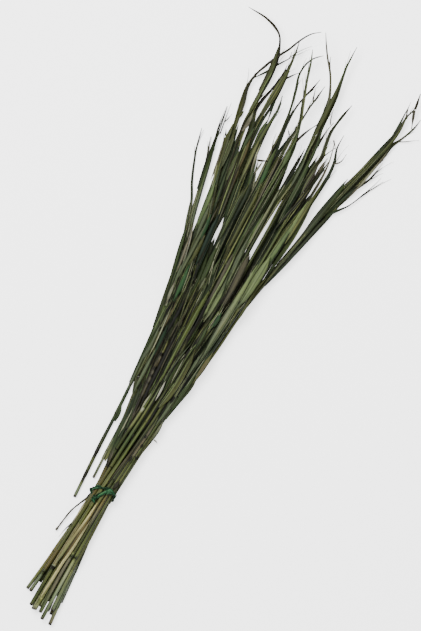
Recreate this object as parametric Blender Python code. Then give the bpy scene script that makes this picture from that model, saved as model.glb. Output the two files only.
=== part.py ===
"""Bunch of reeds, lying on a level surface.

Twenty-one cut canes, nineteen of them held by a twine tie and two only caught in the leaves,
with thirty-seven leaves and one withered stalk. Driving sizes are in millimetres.
X runs across the bunch and Y along it, from the cut ends to the leaf tips. Z is up from the surface,
and the tie's middle is at X = 0, Y = 0 until the whole bunch is moved to its own middle.
"""

import math
import random

import bpy
import numpy as np
from mathutils import Vector

MM = 0.001
GAP = 0.34  # least clearance between neighbours
CANE_SIDES = 6
TWINE_RADIUS = 1.15
TIE_HALF_WIDTH = 13.4
TIE_HEIGHT = 22.4
CANE_TAPER = 3.0  # a cane keeps its thickness over most of its length
JOINT_SWELL = 1.1
JOINT_HALF_LENGTH = 2.2
HOLLOW_DEPTH = 6.0

# The pile under which everything lies: along the bunch, its left and right edge, and its height
PILE = np.array([
    (-178, -24, 13, 20.0),
    (-150, -37, 10, 22.0),
    (-100, -28, 10, 23.0),
    (-50, -20, 12, 24.0),
    (0, -14, 13, 25.2),
    (55, -16, 20, 27.0),
    (120, -22, 31, 31.0),
    (200, -31, 49, 36.0),
    (290, -42, 65, 42.0),
    (380, -54, 77, 46.0),
    (450, -56, 83, 44.0),
    (520, -60, 84, 38.0),
    (640, -60, 70, 30.0),
])
EDGE_DROP = 0.7  # how much lower the pile is at its edges

# Where each cane's place across the bunch is given, along Y
STATIONS = (-105, -50, 0, 55, 120, 200, 290, 380)

# Canes through the tie: level in the pile, butt radius, butt (x, y), x at each station, top (x, y), joints along Y
CANES = [
    (0.90, 2.3, (-35, -149), (-27.2, -18.6, -12.0, -9.0, -0.5, 6.3, 11.5, 15.5), (17, 430), (-92, 58, 190)),
    (0.95, 2.3, (-30, -150), (-23.0, -16.0, -9.2, -3.0, 4.5, 11.5, 18.0, 22.0), (24, 420), (-120, 35, 160)),
    (1.00, 2.5, (-21.5, -165.5), (-16.8, -11.2, -6.0, 2.0, 11.0, 20.5, 29.0, 34.0), (36, 440), (-109, -20, 105)),
    (1.00, 2.5, (-15, -168), (-9.8, -4.7, -1.0, 7.5, 17.5, 26.0, 36.0, 44.0), (48, 430), (-145, 22, 130)),
    (1.00, 2.4, (-7.5, -168.5), (-4.2, 0.5, 4.2, 12.5, 22.5, 36.5, 48.0, 57.0), (62, 440), (-87, 18, 143, 175, 203)),
    (0.95, 2.4, (-2, -175.5), (1.8, 4.8, 8.4, 15.8, 25.0, 41.0, 55.5, 67.0), (73, 430), (-87, 59, 150)),
    (0.85, 2.3, (10, -178), (8.0, 9.4, 11.8, 19.6, 30.0, 47.0, 61.5, 84.0), (98, 430), (-137, 75, 170)),
    (0.72, 2.5, (-17.5, -169), (-12.5, -7.0, -3.6, -5.5, -9.0, -10.5, -14.5, -18.0), (-20, 420), (-60, 105, 205)),
    (0.72, 2.4, (-10.5, -162), (-6.8, -2.2, 1.6, 0.0, -2.5, -5.0, -4.5, -3.0), (-4, 400), (-70, 60, 180)),
    (0.70, 2.4, (5, -160), (4.8, 6.0, 6.8, 9.5, 11.5, 15.0, 21.0, 26.0), (28, 430), (-100, 87, 200)),
    (0.10, 2.4, (1, -164), (-1.5, -3.0, -5.4, -12.0, -15.5, -18.5, -24.0, -31.0), (-35, 420), (-90, 80, 190)),
    (0.50, 2.3, (-20, -147), (-17.5, -12.5, -7.6, -5.5, -2.0, 1.0, -1.5, -6.0), (-7, 410), (-60, 70, 200)),
    (0.42, 2.3, (-25, -134), (-20.0, -14.5, -11.0, -12.5, -15.0, -20.5, -28.5, -38.0), (-42, 410), (-75, 100, 210)),
    (0.50, 2.4, (-12, -157), (-8.5, -5.0, -2.4, -3.0, -6.0, -12.0, -20.0, -25.5), (-27, 430), (-95, 45, 170)),
    (0.08, 2.4, (6.5, -166), (5.5, 3.5, 3.6, 4.8, 9.5, 17.0, 23.5, 28.5), (30, 420), (-80, 90, 210)),
    (0.45, 2.3, (9, -147), (9.2, 9.6, 10.4, 14.4, 21.0, 31.0, 39.5, 46.0), (48, 430), (-104, 55, 185)),
    (0.46, 2.4, (-5, -152), (-1.0, 3.0, 2.4, 4.2, 2.5, 2.0, 5.5, 8.0), (9, 430), (-65, 85, 240)),
    (0.30, 2.3, (3, -141), (3.5, 4.5, 6.8, 12.5, 18.5, 28.0, 39.0, 49.0), (53, 420), (-55, 75, 190)),
    (0.05, 2.3, (-19, -155), (-15.0, -10.0, -1.0, -11.5, -17.5, -25.0, -34.0, -42.0), (-44, 400), (-85, 95, 220)),
]

# Canes that the tie misses: level, butt radius, path (x, y), joints along Y
FREE_CANES = [
    (0.30, 2.1, ((-31, -20), (-30, 50), (-28.5, 95), (-27.8, 140), (-28.5, 200), (-34.5, 290), (-40.5, 380), (-42.5, 410)),
     (10, 43, 97, 138)),
    (0.55, 1.7, ((-20, 12), (-18.5, 55), (-17.2, 100), (-18.5, 145), (-22.5, 200), (-29.5, 290), (-37, 380),
                 (-40, 410)), (50, 150)),
]

# The withered stalk, caught under the twine: path (x, y, z) and radius
STALK_PATH = ((-13.8, 14, 10.5), (-14.2, 0, 11), (-16, -13, 10.8), (-20.5, -22, 9.5), (-27, -36, 7), (-31, -52, 5),
              (-34, -67, 3.6))
STALK_RADIUS = 0.6

# Leaves: base along Y, level in the pile, lift of the tip, and path (x, y, width seen from above).
# One with a base below its path follows the fan of the canes up to it.
LEAVES = [
    # left edge, from the outermost in
    (200, 0.00, 0, ((-31, 262, 2.5), (-40, 305, 4), (-47.5, 335, 4.5), (-52, 352, 4.5), (-59.5, 380, 4),
               (-68, 399, 3.6), (-76.5, 424, 3), (-81, 440, 2.4), (-86, 467, 1))),
    (215, 0.35, 2, ((-31, 280, 3), (-38, 320, 5), (-47, 355, 6), (-54, 395, 6), (-59, 428, 5.5), (-63, 455, 4),
               (-65.5, 480, 2.5), (-68.5, 505, 1))),
    (250, 0.10, 0, ((-43.5, 330, 3), (-50.5, 372, 4), (-57, 410, 4), (-63.5, 437, 3), (-68, 450, 2), (-71, 462, 1))),
    (240, 0.75, 12, ((-27, 330, 4), (-33, 380, 6), (-40, 425, 6.5), (-46.5, 458, 7), (-51, 490, 6), (-54.5, 518, 8),
                (-57, 537, 5), (-55, 552, 2.5), (-47, 572, 2.4), (-38.5, 588, 2.4), (-30, 601, 2.2), (-22, 617, 1.8),
                (-12, 631, 1.4), (-2, 638, 1))),
    (260, 0.55, 16, ((-24, 350, 4), (-31, 405, 6), (-37, 455, 6), (-41, 497, 7), (-39, 530, 4.5), (-38, 560, 7),
                (-39, 586, 5), (-43, 602, 3), (-48.5, 613, 2.4), (-58, 620, 2.4), (-70, 624.5, 2), (-98, 628, 1))),
    (None, 0.30, 4, ((-52, 551, 1), (-46, 559, 2.4), (-41, 566, 3.2), (-36, 575, 2.6), (-29, 585, 2), (-24, 593, 1.6),
               (-25, 601, 1))),
    (280, 0.80, 6, ((-19, 385, 4), (-23, 430, 6), (-26.5, 470, 7), (-26, 500, 6), (-24.5, 520, 6), (-22, 542, 8.5),
               (-19.5, 570, 6), (-19.5, 595, 3), (-22, 617, 1))),
    (385, 0.45, 2, ((-27, 470, 4), (-31, 497, 5), (-34.5, 517, 4.5), (-32, 533, 4.5), (-28, 546, 3.5), (-24, 565, 2.5),
               (-23, 583, 1))),
    (300, 0.70, 2, ((-7, 345, 4), (-8, 385, 5), (-12, 430, 6), (-14, 475, 6), (-12.5, 500, 5), (-10, 518, 4), (-9, 531, 2.5),
               (-11.5, 545, 1))),
    (270, 0.90, 0, ((-34.5, 370, 5), (-43.5, 410, 7), (-49, 440, 8), (-51.5, 465, 7), (-52, 488, 3))),
    (290, 0.95, 0, ((-18, 370, 5), (-22, 410, 8), (-25, 445, 8.5), (-28, 475, 8.5), (-32, 503, 5), (-35, 514, 2))),
    (230, 0.55, 0, ((-19, 340, 5), (-18, 385, 7), (-16, 430, 8), (-16, 475, 7.5), (-17, 500, 5), (-15, 512, 3))),
    (130, 0.75, 0, ((-24, 148, 3), (-23.5, 180, 4.5), (-22.5, 220, 5.5), (-21.5, 255, 5), (-22, 290, 3))),
    (None, 0.90, 0, ((-31, 246, 4), (-32.5, 268, 5), (-36, 300, 6), (-39, 328, 6), (-43, 352, 3))),
    (None, 0.85, 0, ((-24, 255, 4), (-25, 285, 6), (-27, 320, 6), (-28, 360, 6), (-31, 400, 5), (-34, 430, 3))),
    # middle
    (215, 0.80, 0, ((0, 262, 4), (-1, 300, 6), (-3, 340, 7), (-3, 380, 7), (-1, 415, 6), (-5, 445, 4), (-9, 468, 2))),
    (290, 0.65, 8, ((7, 400, 4), (8, 440, 6), (7.5, 480, 6), (7.5, 510, 5), (5, 535, 3.2), (0.5, 560, 3), (-4, 581, 2.2),
               (-2.5, 592, 1.8), (1, 601, 1.6), (13, 613, 1))),
    (330, 0.85, 4, ((12, 440, 3), (11, 480, 4), (8.5, 518, 4), (10, 540, 2.6), (14, 557, 2.4), (18.5, 572, 2),
               (22, 584, 1))),
    (310, 0.95, 4, ((22, 420, 4), (25, 465, 5), (26, 505, 5), (22, 529, 4.5), (17, 545, 4), (13.5, 557, 3), (8, 575, 2.6),
               (2, 600, 2), (-2.5, 614, 1))),
    (340, 0.60, 6, ((18, 440, 4), (20, 480, 4), (22, 512, 4), (24.5, 536, 3.6), (26, 550, 3), (29, 566, 2.2), (31, 579, 1))),
    (260, 0.95, 0, ((20, 320, 5), (24, 370, 8), (26, 420, 9), (28, 465, 9), (28, 492, 7), (26, 512, 4))),
    (320, 0.50, 0, ((11, 420, 4), (13, 455, 6), (15, 485, 6), (19, 505, 4), (21.5, 520, 2))),
    (None, 1.00, 0, ((19.5, 250, 6), (22.5, 282, 9), (24.5, 312, 9), (25, 345, 8.5), (28, 375, 7), (30, 402, 4))),
    # right of the middle
    (260, 0.80, 8, ((35, 370, 4), (39.5, 420, 6), (46.5, 465, 6), (46.5, 500, 5), (45, 530, 5), (45.5, 552, 6.5), (43, 567, 5),
               (37, 583, 3.4), (30, 597, 3), (20, 611, 2.4), (13, 622, 2), (3, 640, 1))),
    (300, 0.60, 10, ((46, 420, 4), (50, 470, 5), (50, 510, 5), (49.5, 545, 5), (48.5, 572, 5), (46, 600, 3), (45, 613, 2.2),
                (46, 641, 1))),
    (300, 0.50, 0, ((32, 400, 3), (37, 447, 4), (40, 475, 4), (42, 498, 2))),
    (330, 0.85, 0, ((48, 440, 4), (53, 475, 6), (54.5, 500, 6), (52.5, 520, 5), (50, 538, 2))),
    (280, 0.70, 6, ((56, 420, 4), (60, 460, 5), (62, 480, 5), (66, 497, 5), (64, 514, 4.5), (62.5, 530, 4.5), (64, 541, 3),
               (67, 555, 3), (72, 573, 1.4))),
    (270, 0.45, 4, ((68, 380, 4), (74, 425, 6), (79, 455, 5.5), (82.5, 480, 4.5), (82, 500, 4), (78, 516, 2.4),
               (79, 535, 1))),
    (None, 1.00, 0, ((38, 215, 5), (43, 242, 8), (48, 272, 9), (53, 305, 9.5), (57, 342, 9.5), (63, 382, 9.5), (70, 412, 8.5),
               (76, 437, 6), (78, 452, 3))),
    (230, 0.60, 0, ((51, 290, 4), (57, 325, 6), (62, 360, 6.5), (66, 395, 6.5), (70, 425, 5.5), (73, 448, 2))),
    (300, 0.80, 0, ((58, 400, 4), (64, 435, 6), (69, 460, 5), (73, 480, 3.4), (76, 497, 1.4))),
    # stray group on the right
    (230, 0.55, 0, ((65, 318, 4), (73.5, 350, 4.5), (83, 385, 4.5), (94, 430, 5), (102, 457, 5.5), (108.5, 477, 6),
               (116.5, 500, 6), (126, 530, 6), (132, 549, 5.5), (136.5, 563, 5), (138.5, 578, 3), (139, 592, 1))),
    (250, 0.90, 6, ((76, 352, 4), (90, 400, 5), (98, 430, 5), (105.5, 455, 5), (112, 475, 5), (120, 500, 5.5),
               (129.5, 530, 6), (136, 552, 6), (139.5, 572, 5), (140.5, 590, 3), (144.5, 601, 2.2), (143.8, 611, 2),
               (143, 622, 1))),
    (240, 0.00, 0, ((71.5, 335, 4), (82, 365, 5), (93.5, 402, 5.5), (102, 430, 6), (109, 455, 6), (116.5, 475, 6.5),
               (124.5, 500, 6.5), (134, 530, 6), (139, 550, 5), (144.5, 559, 3), (151, 572, 2.6), (155, 582, 2.4),
               (157.5, 594, 1.2))),
    (None, 0.40, 0, ((105, 436, 2.5), (112, 455, 3), (120, 475, 3.4), (127, 487, 3), (133, 499, 2.4), (136, 510, 2),
               (140, 519, 1))),
    (None, 0.20, 0, ((99, 418, 2.5), (107, 440, 3.5), (114, 448, 3.5), (121, 456, 2.4), (129, 470, 2.2), (133, 478, 2),
               (142, 493, 1))),
]
FOLD_DEPTH = 0.25  # a leaf's fold, as a share of its width
LEAF_STEP = 60.0
LEAF_BASE_WIDTH = 3.0
LEAF_EDGE = 0.3  # half its thickness at the edge
LEAF_RIB = 0.42  # and at the fold

# The twine's route round the canes: angle in degrees (0 right, 90 top), place along Y, lift off the canes
TWINE_ROUTE = (
    (122, -13.5, 0.0), (112, -10.0, 2.9), (100, -5.0, 1.6), (88, 0.0, 0.0), (72, 4.2, 0.0), (52, 6.0, 0.0),
    (30, 4.0, 0.0), (5, 1.6, 0.0), (-25, 0.8, 0.0), (-55, 0.8, 0.0), (-90, 1.0, 0.0), (-125, 1.2, 0.0),
    (-155, 1.6, 0.0), (-180, 2.2, 0.0), (-205, 3.4, 0.0), (-232, 5.4, 0.0), (-258, 8.0, 0.0), (-280, 9.6, 0.2),
    (-300, 9.6, 1.4), (-318, 6.0, 2.9), (-334, 1.6, 1.4), (-352, -2.4, 0.0), (-380, -3.4, 0.0), (-410, -3.4, 0.0),
    (-450, -3.6, 0.0), (-490, -4.2, 0.0), (-520, -5.2, 0.0), (-545, -6.4, 0.0), (-570, -7.8, 0.0), (-592, -8.8, 0.0),
    (-612, -9.6, 0.0), (-628, -10.6, 0.0),
)

CANE_COLOURS = ((0.20, 0.21, 0.08), (0.36, 0.33, 0.15), (0.15, 0.18, 0.08), (0.30, 0.25, 0.13))
LEAF_COLOURS = ((0.13, 0.17, 0.06), (0.22, 0.27, 0.09), (0.10, 0.14, 0.06), (0.30, 0.30, 0.18))
TWINE_COLOUR = (0.04, 0.22, 0.12)
STALK_COLOUR = (0.16, 0.13, 0.10)


class Rod:
    """One long piece: its centre line, its outer radius at each point, and what it needs to be drawn."""

    def __init__(self, name, points, radii, **details):
        self.name = name
        self.points = np.array(points, dtype=float)
        self.radii = np.array(radii, dtype=float)
        self.__dict__.update(details)


def ground(y):
    """Height of a cane's underside: the twine lifts it at the tie."""
    return np.interp(np.abs(y), (0, 50), (2 * TWINE_RADIUS + GAP, 0))


def pile_height(x, y):
    left, right, height = (np.interp(y, PILE[:, 0], PILE[:, k]) for k in (1, 2, 3))
    across = np.clip((2 * x - left - right) / (right - left), -1, 1)
    return height * (1 - EDGE_DROP * across**2)


def laid(level, x, y, radius):
    """Height of a piece's centre at its level in the pile."""
    room = np.maximum(pile_height(x, y) - ground(y) - 2 * radius, 0)
    return ground(y) + radius + level * room


def cane_rod(name, level, radius, path, joints):
    path = np.array(path, dtype=float)
    share = (path[:, 1] - path[0, 1]) / (path[-1, 1] - path[0, 1])
    radii = radius * (1 - 0.6 * share**CANE_TAPER)
    z = laid(level, path[:, 0], path[:, 1], radii * JOINT_SWELL)
    return Rod(name, np.column_stack([path, z]), radii * JOINT_SWELL, kind="cane", joints=joints)


def down_the_fan(x, y, lower):
    """Where a line that spreads as the bunch does, and is at (x, y), passes further down."""
    edges = [[np.interp(at, PILE[:, 0], PILE[:, k]) for k in (1, 2)] for at in (y, lower)]
    share = np.clip((x - edges[0][0]) / (edges[0][1] - edges[0][0]), 0.05, 0.95)
    return edges[1][0] + share * (edges[1][1] - edges[1][0])


def leaf_rod(name, base, level, lift, path):
    path = np.array(path, dtype=float)
    if base is not None:
        x, y, width = path[0]
        steps = max(1, round((y - base) / LEAF_STEP))
        lower = np.linspace(base, y, steps + 1)[:-1]
        widths = np.linspace(LEAF_BASE_WIDTH, width, steps + 1)[:-1]
        path = np.array([*((down_the_fan(x, y, at), at, w) for at, w in zip(lower, widths)), *path])
    radii = 0.515 * path[:, 2] + 0.28
    share = np.linspace(0, 1, len(path))
    z = laid(level, path[:, 0], path[:, 1], radii) + lift * share**3
    points = np.column_stack([path[:, :2], z])
    return Rod(name, points, radii, kind="leaf", widths=path[:, 2])


def make_rods():
    rods = []
    for level, radius, butt, across, top, joints in CANES:
        path = [butt, *zip(across, STATIONS), top]
        rods.append(cane_rod(f"cane_{len(rods) + 1:02d}", level, radius, path, joints))
    for level, radius, path, joints in FREE_CANES:
        rods.append(cane_rod(f"cane_{len(rods) + 1:02d}", level, radius, path, joints))
    for k, leaf in enumerate(LEAVES):
        rods.append(leaf_rod(f"leaf_{k + 1:02d}", *leaf))
    stalk = np.array(STALK_PATH, dtype=float)
    rods.append(Rod("dry_stalk", stalk, np.full(len(stalk), STALK_RADIUS), kind="stalk"))
    return rods


def closest(p, d, q, e):
    """Shares along segments p + s d and q + t e where they come nearest."""
    r = p - q
    a = np.maximum((d * d).sum(1), 1e-9)
    c = np.maximum((e * e).sum(1), 1e-9)
    b = (d * e).sum(1)
    f = (d * r).sum(1)
    g = (e * r).sum(1)
    s = np.clip((b * g - c * f) / np.maximum(a * c - b * b, 1e-9), 0, 1)
    t = np.clip((b * s + g) / c, 0, 1)
    s = np.clip((b * t - f) / a, 0, 1)
    return s, t


class Settling:
    """Moves the rods apart where they meet, mostly up and down, and keeps their lines smooth."""

    EASE = np.array([0.12, 0.02, 1.0])  # how readily a point gives way along X, Y and Z

    def __init__(self, rods):
        self.rods = rods
        self.points = np.concatenate([r.points for r in rods])
        self.target = self.points.copy()
        self.radii = np.concatenate([r.radii for r in rods])
        self.owner = np.concatenate([np.full(len(r.points), k) for k, r in enumerate(rods)])
        same = self.owner[:-1] == self.owner[1:]
        self.first = np.flatnonzero(same)
        self.inner = self.first[1:][np.diff(self.first) == 1]
        self.starts = np.searchsorted(self.owner, np.arange(len(rods)))
        self.hosts = [self.host_of(k) for k, r in enumerate(rods) if r.kind == "leaf"]
        tied = [k for k, r in enumerate(rods) if r.kind == "cane" and np.any(self.at_tie(k))]
        self.tied = np.concatenate([self.starts[k] + np.flatnonzero(self.at_tie(k)) for k in tied])

    def at_tie(self, k):
        points = self.rods[k].points
        return (np.abs(points[:, 1]) < 1e-6) & (np.abs(points[:, 0]) < TIE_HALF_WIDTH + 1)

    def host_of(self, k):
        """The piece that a leaf springs from: the nearest one that passes its base."""
        base = self.starts[k]
        others = self.first[self.owner[self.first] != k]
        p, d = self.points[others], self.points[others + 1] - self.points[others]
        share = np.clip(((self.points[base] - p) * d).sum(1) / (d * d).sum(1), 0, 1)
        apart = self.points[base] - (p + share[:, None] * d)
        ends_here = self.owner[others] > k
        away = np.hypot(np.hypot(apart[:, 0], apart[:, 1]), 0.3 * apart[:, 2]) + 50 * ends_here
        best = int(np.argmin(away))
        return base, others[best], share[best]

    def near_pairs(self):
        a, b = np.triu_indices(len(self.first), 1)
        apart = self.owner[self.first[a]] != self.owner[self.first[b]]
        a, b = a[apart], b[apart]
        p = self.points[self.first]
        q = self.points[self.first + 1]
        reach = np.maximum(self.radii[self.first], self.radii[self.first + 1]) + 2.0
        low, high = np.minimum(p, q) - reach[:, None], np.maximum(p, q) + reach[:, None]
        meet = np.all((low[a] < high[b]) & (low[b] < high[a]), axis=1)
        self.pairs = self.first[a[meet]], self.first[b[meet]]

    def separate(self):
        i, j = self.pairs
        p, q = self.points[i], self.points[j]
        d, e = self.points[i + 1] - p, self.points[j + 1] - q
        s, t = closest(p, d, q, e)
        apart = (p + s[:, None] * d) - (q + t[:, None] * e)
        away = np.linalg.norm(apart, axis=1)
        need = (1 - s) * self.radii[i] + s * self.radii[i + 1] + (1 - t) * self.radii[j] + t * self.radii[j + 1] + GAP
        short = need - away
        hit = short > 0
        if not hit.any():
            return 0.0
        i, j, s, t, short, apart, away = (v[hit] for v in (i, j, s, t, short, apart, away))
        higher = np.where(self.target[i][:, 2] >= self.target[j][:, 2], 1.0, -1.0)
        normal = np.where(away[:, None] > 0.05, apart / np.maximum(away, 0.05)[:, None], 0)
        normal[away <= 0.05, 2] = higher[away <= 0.05]
        give = normal * self.EASE
        shares = np.stack([1 - s, s, -(1 - t), -t])
        scale = short / ((normal * give).sum(1) * (shares**2).sum(0))
        moved = np.zeros_like(self.points)
        count = np.zeros(len(self.points))
        for share, index in zip(shares, (i, i + 1, j, j + 1)):
            np.add.at(moved, index, give * (scale * share)[:, None])
            np.add.at(count, index, np.abs(share) > 0.05)
        self.points += moved / np.maximum(count, 1)[:, None] ** 0.6
        return float(short.max())

    def keep_up(self):
        lowest = ground(self.points[:, 1]) + self.radii
        self.points[:, 2] = np.maximum(self.points[:, 2], lowest)

    def pull_in(self, strength):
        """The tie holds its canes in a flattened round."""
        p = self.points[self.tied]
        r = self.radii[self.tied]
        middle = 2 * TWINE_RADIUS + GAP + TIE_HEIGHT / 2
        x, z = p[:, 0], p[:, 2] - middle
        out = np.hypot(x / (TIE_HALF_WIDTH - r), z / (TIE_HEIGHT / 2 - r))
        back = np.where(out > 1, 1 / np.maximum(out, 1), 1)
        self.points[self.tied, 0] += strength * (back * x - x)
        self.points[self.tied, 2] += strength * (back * z - z)

    def hold_bases(self, strength):
        for base, other, share in self.hosts:
            on_host = (1 - share) * self.points[other] + share * self.points[other + 1]
            reach = self.radii[base] + (1 - share) * self.radii[other] + share * self.radii[other + 1] + 1.4 * GAP
            apart = on_host - self.points[base]
            away = float(np.linalg.norm(apart))
            if away > reach:
                self.points[base] += strength * apart * (1 - reach / away)

    def smooth(self, strength, pull):
        off = self.points - self.target
        mean = (off[self.inner - 1] + off[self.inner + 1]) / 2
        off[self.inner] += strength * (mean - off[self.inner])
        self.points = self.target + off * (1 - pull)

    def run(self, rounds=420, last=900):
        for step in range(rounds):
            if step % 10 == 0:
                self.near_pairs()
            ease = 1 - step / rounds
            self.smooth(0.5 * ease, 0.004 * ease)
            self.pull_in(0.5)
            self.hold_bases(0.3)
            self.separate()
            self.keep_up()
        for step in range(last):
            if step % 20 == 0:
                self.near_pairs()
            worst = self.separate()
            self.keep_up()
            if worst < 0.01:
                break
        for k, rod in enumerate(self.rods):
            rod.points = self.points[self.starts[k] : self.starts[k] + len(rod.points)].copy()
        return worst


def frames(points):
    """A side and an up direction at each point of a line, both square to it. Side stays level."""
    points = np.asarray(points, dtype=float)
    along = np.gradient(points, axis=0)
    inner = points[1:] - points[:-1]
    inner /= np.linalg.norm(inner, axis=1)[:, None]
    along[1:-1] = inner[1:] + inner[:-1]
    along[0], along[-1] = inner[0], inner[-1]
    along /= np.linalg.norm(along, axis=1)[:, None]
    side = np.cross(along, (0, 0, 1.0))
    side /= np.linalg.norm(side, axis=1)[:, None]
    for k in range(1, len(side)):
        if side[k] @ side[k - 1] < -0.2:
            side[k] = -side[k]
    up = np.cross(side, along)
    return along, side, up


def node(name, vertices, faces, colour, roughness):
    """A named object with its own material, set down at its first vertex."""
    vertices = np.asarray(vertices) * MM
    start = vertices[0].copy()
    mesh = bpy.data.meshes.new(name)
    mesh.from_pydata((vertices - start).tolist(), [], faces)
    mesh.update()
    thing = bpy.data.objects.new(name, mesh)
    thing.location = Vector(start.tolist())
    bpy.context.scene.collection.objects.link(thing)
    material = bpy.data.materials.new(name)
    material.use_nodes = True
    shader = material.node_tree.nodes["Principled BSDF"]
    shader.inputs["Base Color"].default_value = (*colour, 1)
    shader.inputs["Roughness"].default_value = roughness
    shader.inputs["Metallic"].default_value = 0.0
    mesh.materials.append(material)
    return thing


def bridge(rings, sides, turned=False):
    """Quads between rings of points that follow each other, facing out."""
    faces = []
    for k in range(rings - 1):
        for m in range(sides):
            n = (m + 1) % sides
            quad = (k * sides + m, k * sides + n, (k + 1) * sides + n, (k + 1) * sides + m)
            faces.append(quad[::-1] if turned else quad)
    return faces


def round_ring(centre, side, up, radius, sides, turn=0.0):
    angles = turn + 2 * math.pi * np.arange(sides) / sides
    return centre + radius * (np.cos(angles)[:, None] * side + np.sin(angles)[:, None] * up)


def with_joints(rod):
    """The cane's stations with its joints' rings put in between: centres and radii."""
    centres = rod.points
    radii = rod.radii / JOINT_SWELL
    y = centres[:, 1]
    rows = [(value, centre, radius) for value, centre, radius in zip(y, centres, radii)]
    for joint in rod.joints:
        rows = [row for row in rows if abs(row[0] - joint) > 2.5 * JOINT_HALF_LENGTH or row[0] in (y[0], y[-1])]
        for offset, swell in ((-JOINT_HALF_LENGTH, 1.0), (0.0, JOINT_SWELL), (JOINT_HALF_LENGTH, 1.0)):
            at = joint + offset
            centre = np.array([np.interp(at, y, centres[:, k]) for k in range(3)])
            rows.append((at, centre, float(np.interp(at, y, radii)) * swell))
    rows.sort(key=lambda row: row[0])
    return np.array([row[1] for row in rows]), np.array([row[2] for row in rows])


def make_cane(rod, colour):
    """A tapered cane with raised joints and a hollow at its cut end."""
    centres, radii = with_joints(rod)
    along, side, up = frames(centres)
    rings = [round_ring(c, s, u, r, CANE_SIDES) for c, s, u, r in zip(centres, side, up, radii)]
    bore = 0.55 * radii[0]
    mouth = round_ring(centres[0], side[0], up[0], bore, CANE_SIDES)
    bottom = round_ring(centres[0] + HOLLOW_DEPTH * along[0], side[0], up[0], bore, CANE_SIDES)
    rings = [bottom, mouth, *rings]
    faces = bridge(len(rings), CANE_SIDES, turned=True)
    faces.append(tuple(range(CANE_SIDES)))
    last = (len(rings) - 1) * CANE_SIDES
    faces.append(tuple(range(last, last + CANE_SIDES))[::-1])
    return node(rod.name, np.concatenate(rings), faces, colour, 0.55)


def make_leaf(rod, colour, twist):
    """A thin blade folded along its rib, narrowing to its tip."""
    along, side, up = frames(rod.points)
    turns = np.radians(np.linspace(twist[0], twist[1], len(rod.points)))
    rings = []
    for centre, s, u, width, turn in zip(rod.points, side, up, rod.widths, turns):
        across = math.cos(turn) * s + math.sin(turn) * u
        out = math.cos(turn) * u - math.sin(turn) * s
        half, depth = width / 2, FOLD_DEPTH * width
        rib = min(LEAF_RIB, 0.1 * width + 0.26)
        outline = (
            (-half, depth / 2 + LEAF_EDGE), (-half, depth / 2 - LEAF_EDGE), (0, -depth / 2 - rib),
            (half, depth / 2 - LEAF_EDGE), (half, depth / 2 + LEAF_EDGE), (0, -depth / 2 + rib),
        )
        rings.append(np.array([centre + a * across + b * out for a, b in outline]))
    sides = len(rings[0])
    last = (len(rings) - 1) * sides
    faces = bridge(len(rings), sides, turned=True)
    for ring_start, flip in ((0, False), (last, True)):
        for corners in ((0, 1, 2, 5), (5, 2, 3, 4)):
            face = tuple(ring_start + c for c in corners)
            faces.append(face[::-1] if flip else face)
    return node(rod.name, np.concatenate(rings), faces, colour, 0.6)


def make_stalk(rod):
    _, side, up = frames(rod.points)
    radii = rod.radii * np.linspace(1.0, 0.75, len(rod.points))
    rings = [round_ring(c, s, u, r, 5) for c, s, u, r in zip(rod.points, side, up, radii)]
    last = (len(rings) - 1) * 5
    faces = bridge(len(rings), 5, turned=True)
    faces.append(tuple(range(5)))
    faces.append(tuple(range(last, last + 5))[::-1])
    return node(rod.name, np.concatenate(rings), faces, STALK_COLOUR, 0.8)


def section(rods, y):
    """Middles and radii, in X and Z, of the pieces that pass through the tie, cut at a place along Y."""
    rows = []
    for rod in rods:
        line = rod.points[np.argsort(rod.points[:, 1])]
        if line[0, 1] > y or rod.kind == "leaf":
            continue
        x, z = (np.interp(y, line[:, 1], line[:, k]) for k in (0, 2))
        if line[-1, 1] >= y and abs(x) < TIE_HALF_WIDTH + 4:
            rows.append((x, z, float(np.interp(y, line[:, 1], rod.radii[np.argsort(rod.points[:, 1])]))))
    return np.array(rows)


def twine_line(rods):
    """The twine's centre line, laid on the outside of the canes and pulled straight between them."""
    degrees, places, lifts = (np.array(v, dtype=float) for v in zip(*TWINE_ROUTE))
    share = np.linspace(0, 1, len(degrees))
    fine = np.linspace(0, 1, 44)
    route = [np.interp(fine, share, v) for v in (degrees, places, lifts)]
    points = []
    for angle, y, lift in zip(np.radians(route[0]), route[1], route[2]):
        out = np.array([math.cos(angle), math.sin(angle)])
        cut = section(rods, y)
        reach = cut[:, :2] @ out + cut[:, 2]
        held = cut[int(np.argmax(reach))]
        x, z = held[:2] + out * (held[2] + TWINE_RADIUS + GAP + lift)
        points.append((x, y, max(z, TWINE_RADIUS)))
    return np.array(points)


def make_twine(rods):
    centres = twine_line(rods)
    along = np.gradient(centres, axis=0)
    along /= np.linalg.norm(along, axis=1)[:, None]
    sides = 6
    side = np.cross(along, (0, 1.0, 0))
    side /= np.linalg.norm(side, axis=1)[:, None]
    up = np.cross(side, along)
    rings = [round_ring(c, s, u, TWINE_RADIUS, sides, math.pi / 6) for c, s, u in zip(centres, side, up)]
    last = (len(rings) - 1) * sides
    faces = bridge(len(rings), sides, turned=True)
    faces.append(tuple(range(sides)))
    faces.append(tuple(range(last, last + sides))[::-1])
    return node("twine_tie", np.concatenate(rings), faces, TWINE_COLOUR, 0.8)


def centre_on_origin(things):
    """Puts the middle of the whole bunch's underside at the origin."""
    bpy.context.view_layer.update()
    corners = np.array([thing.matrix_world @ v.co for thing in things for v in thing.data.vertices])
    low, high = corners.min(0), corners.max(0)
    shift = Vector((-(low[0] + high[0]) / 2, -(low[1] + high[1]) / 2, -low[2]))
    for thing in things:
        thing.location += shift
    print("size in mm", np.round((high - low) / MM, 2), "shift in mm", np.round(np.array(shift) / MM, 3))


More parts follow.
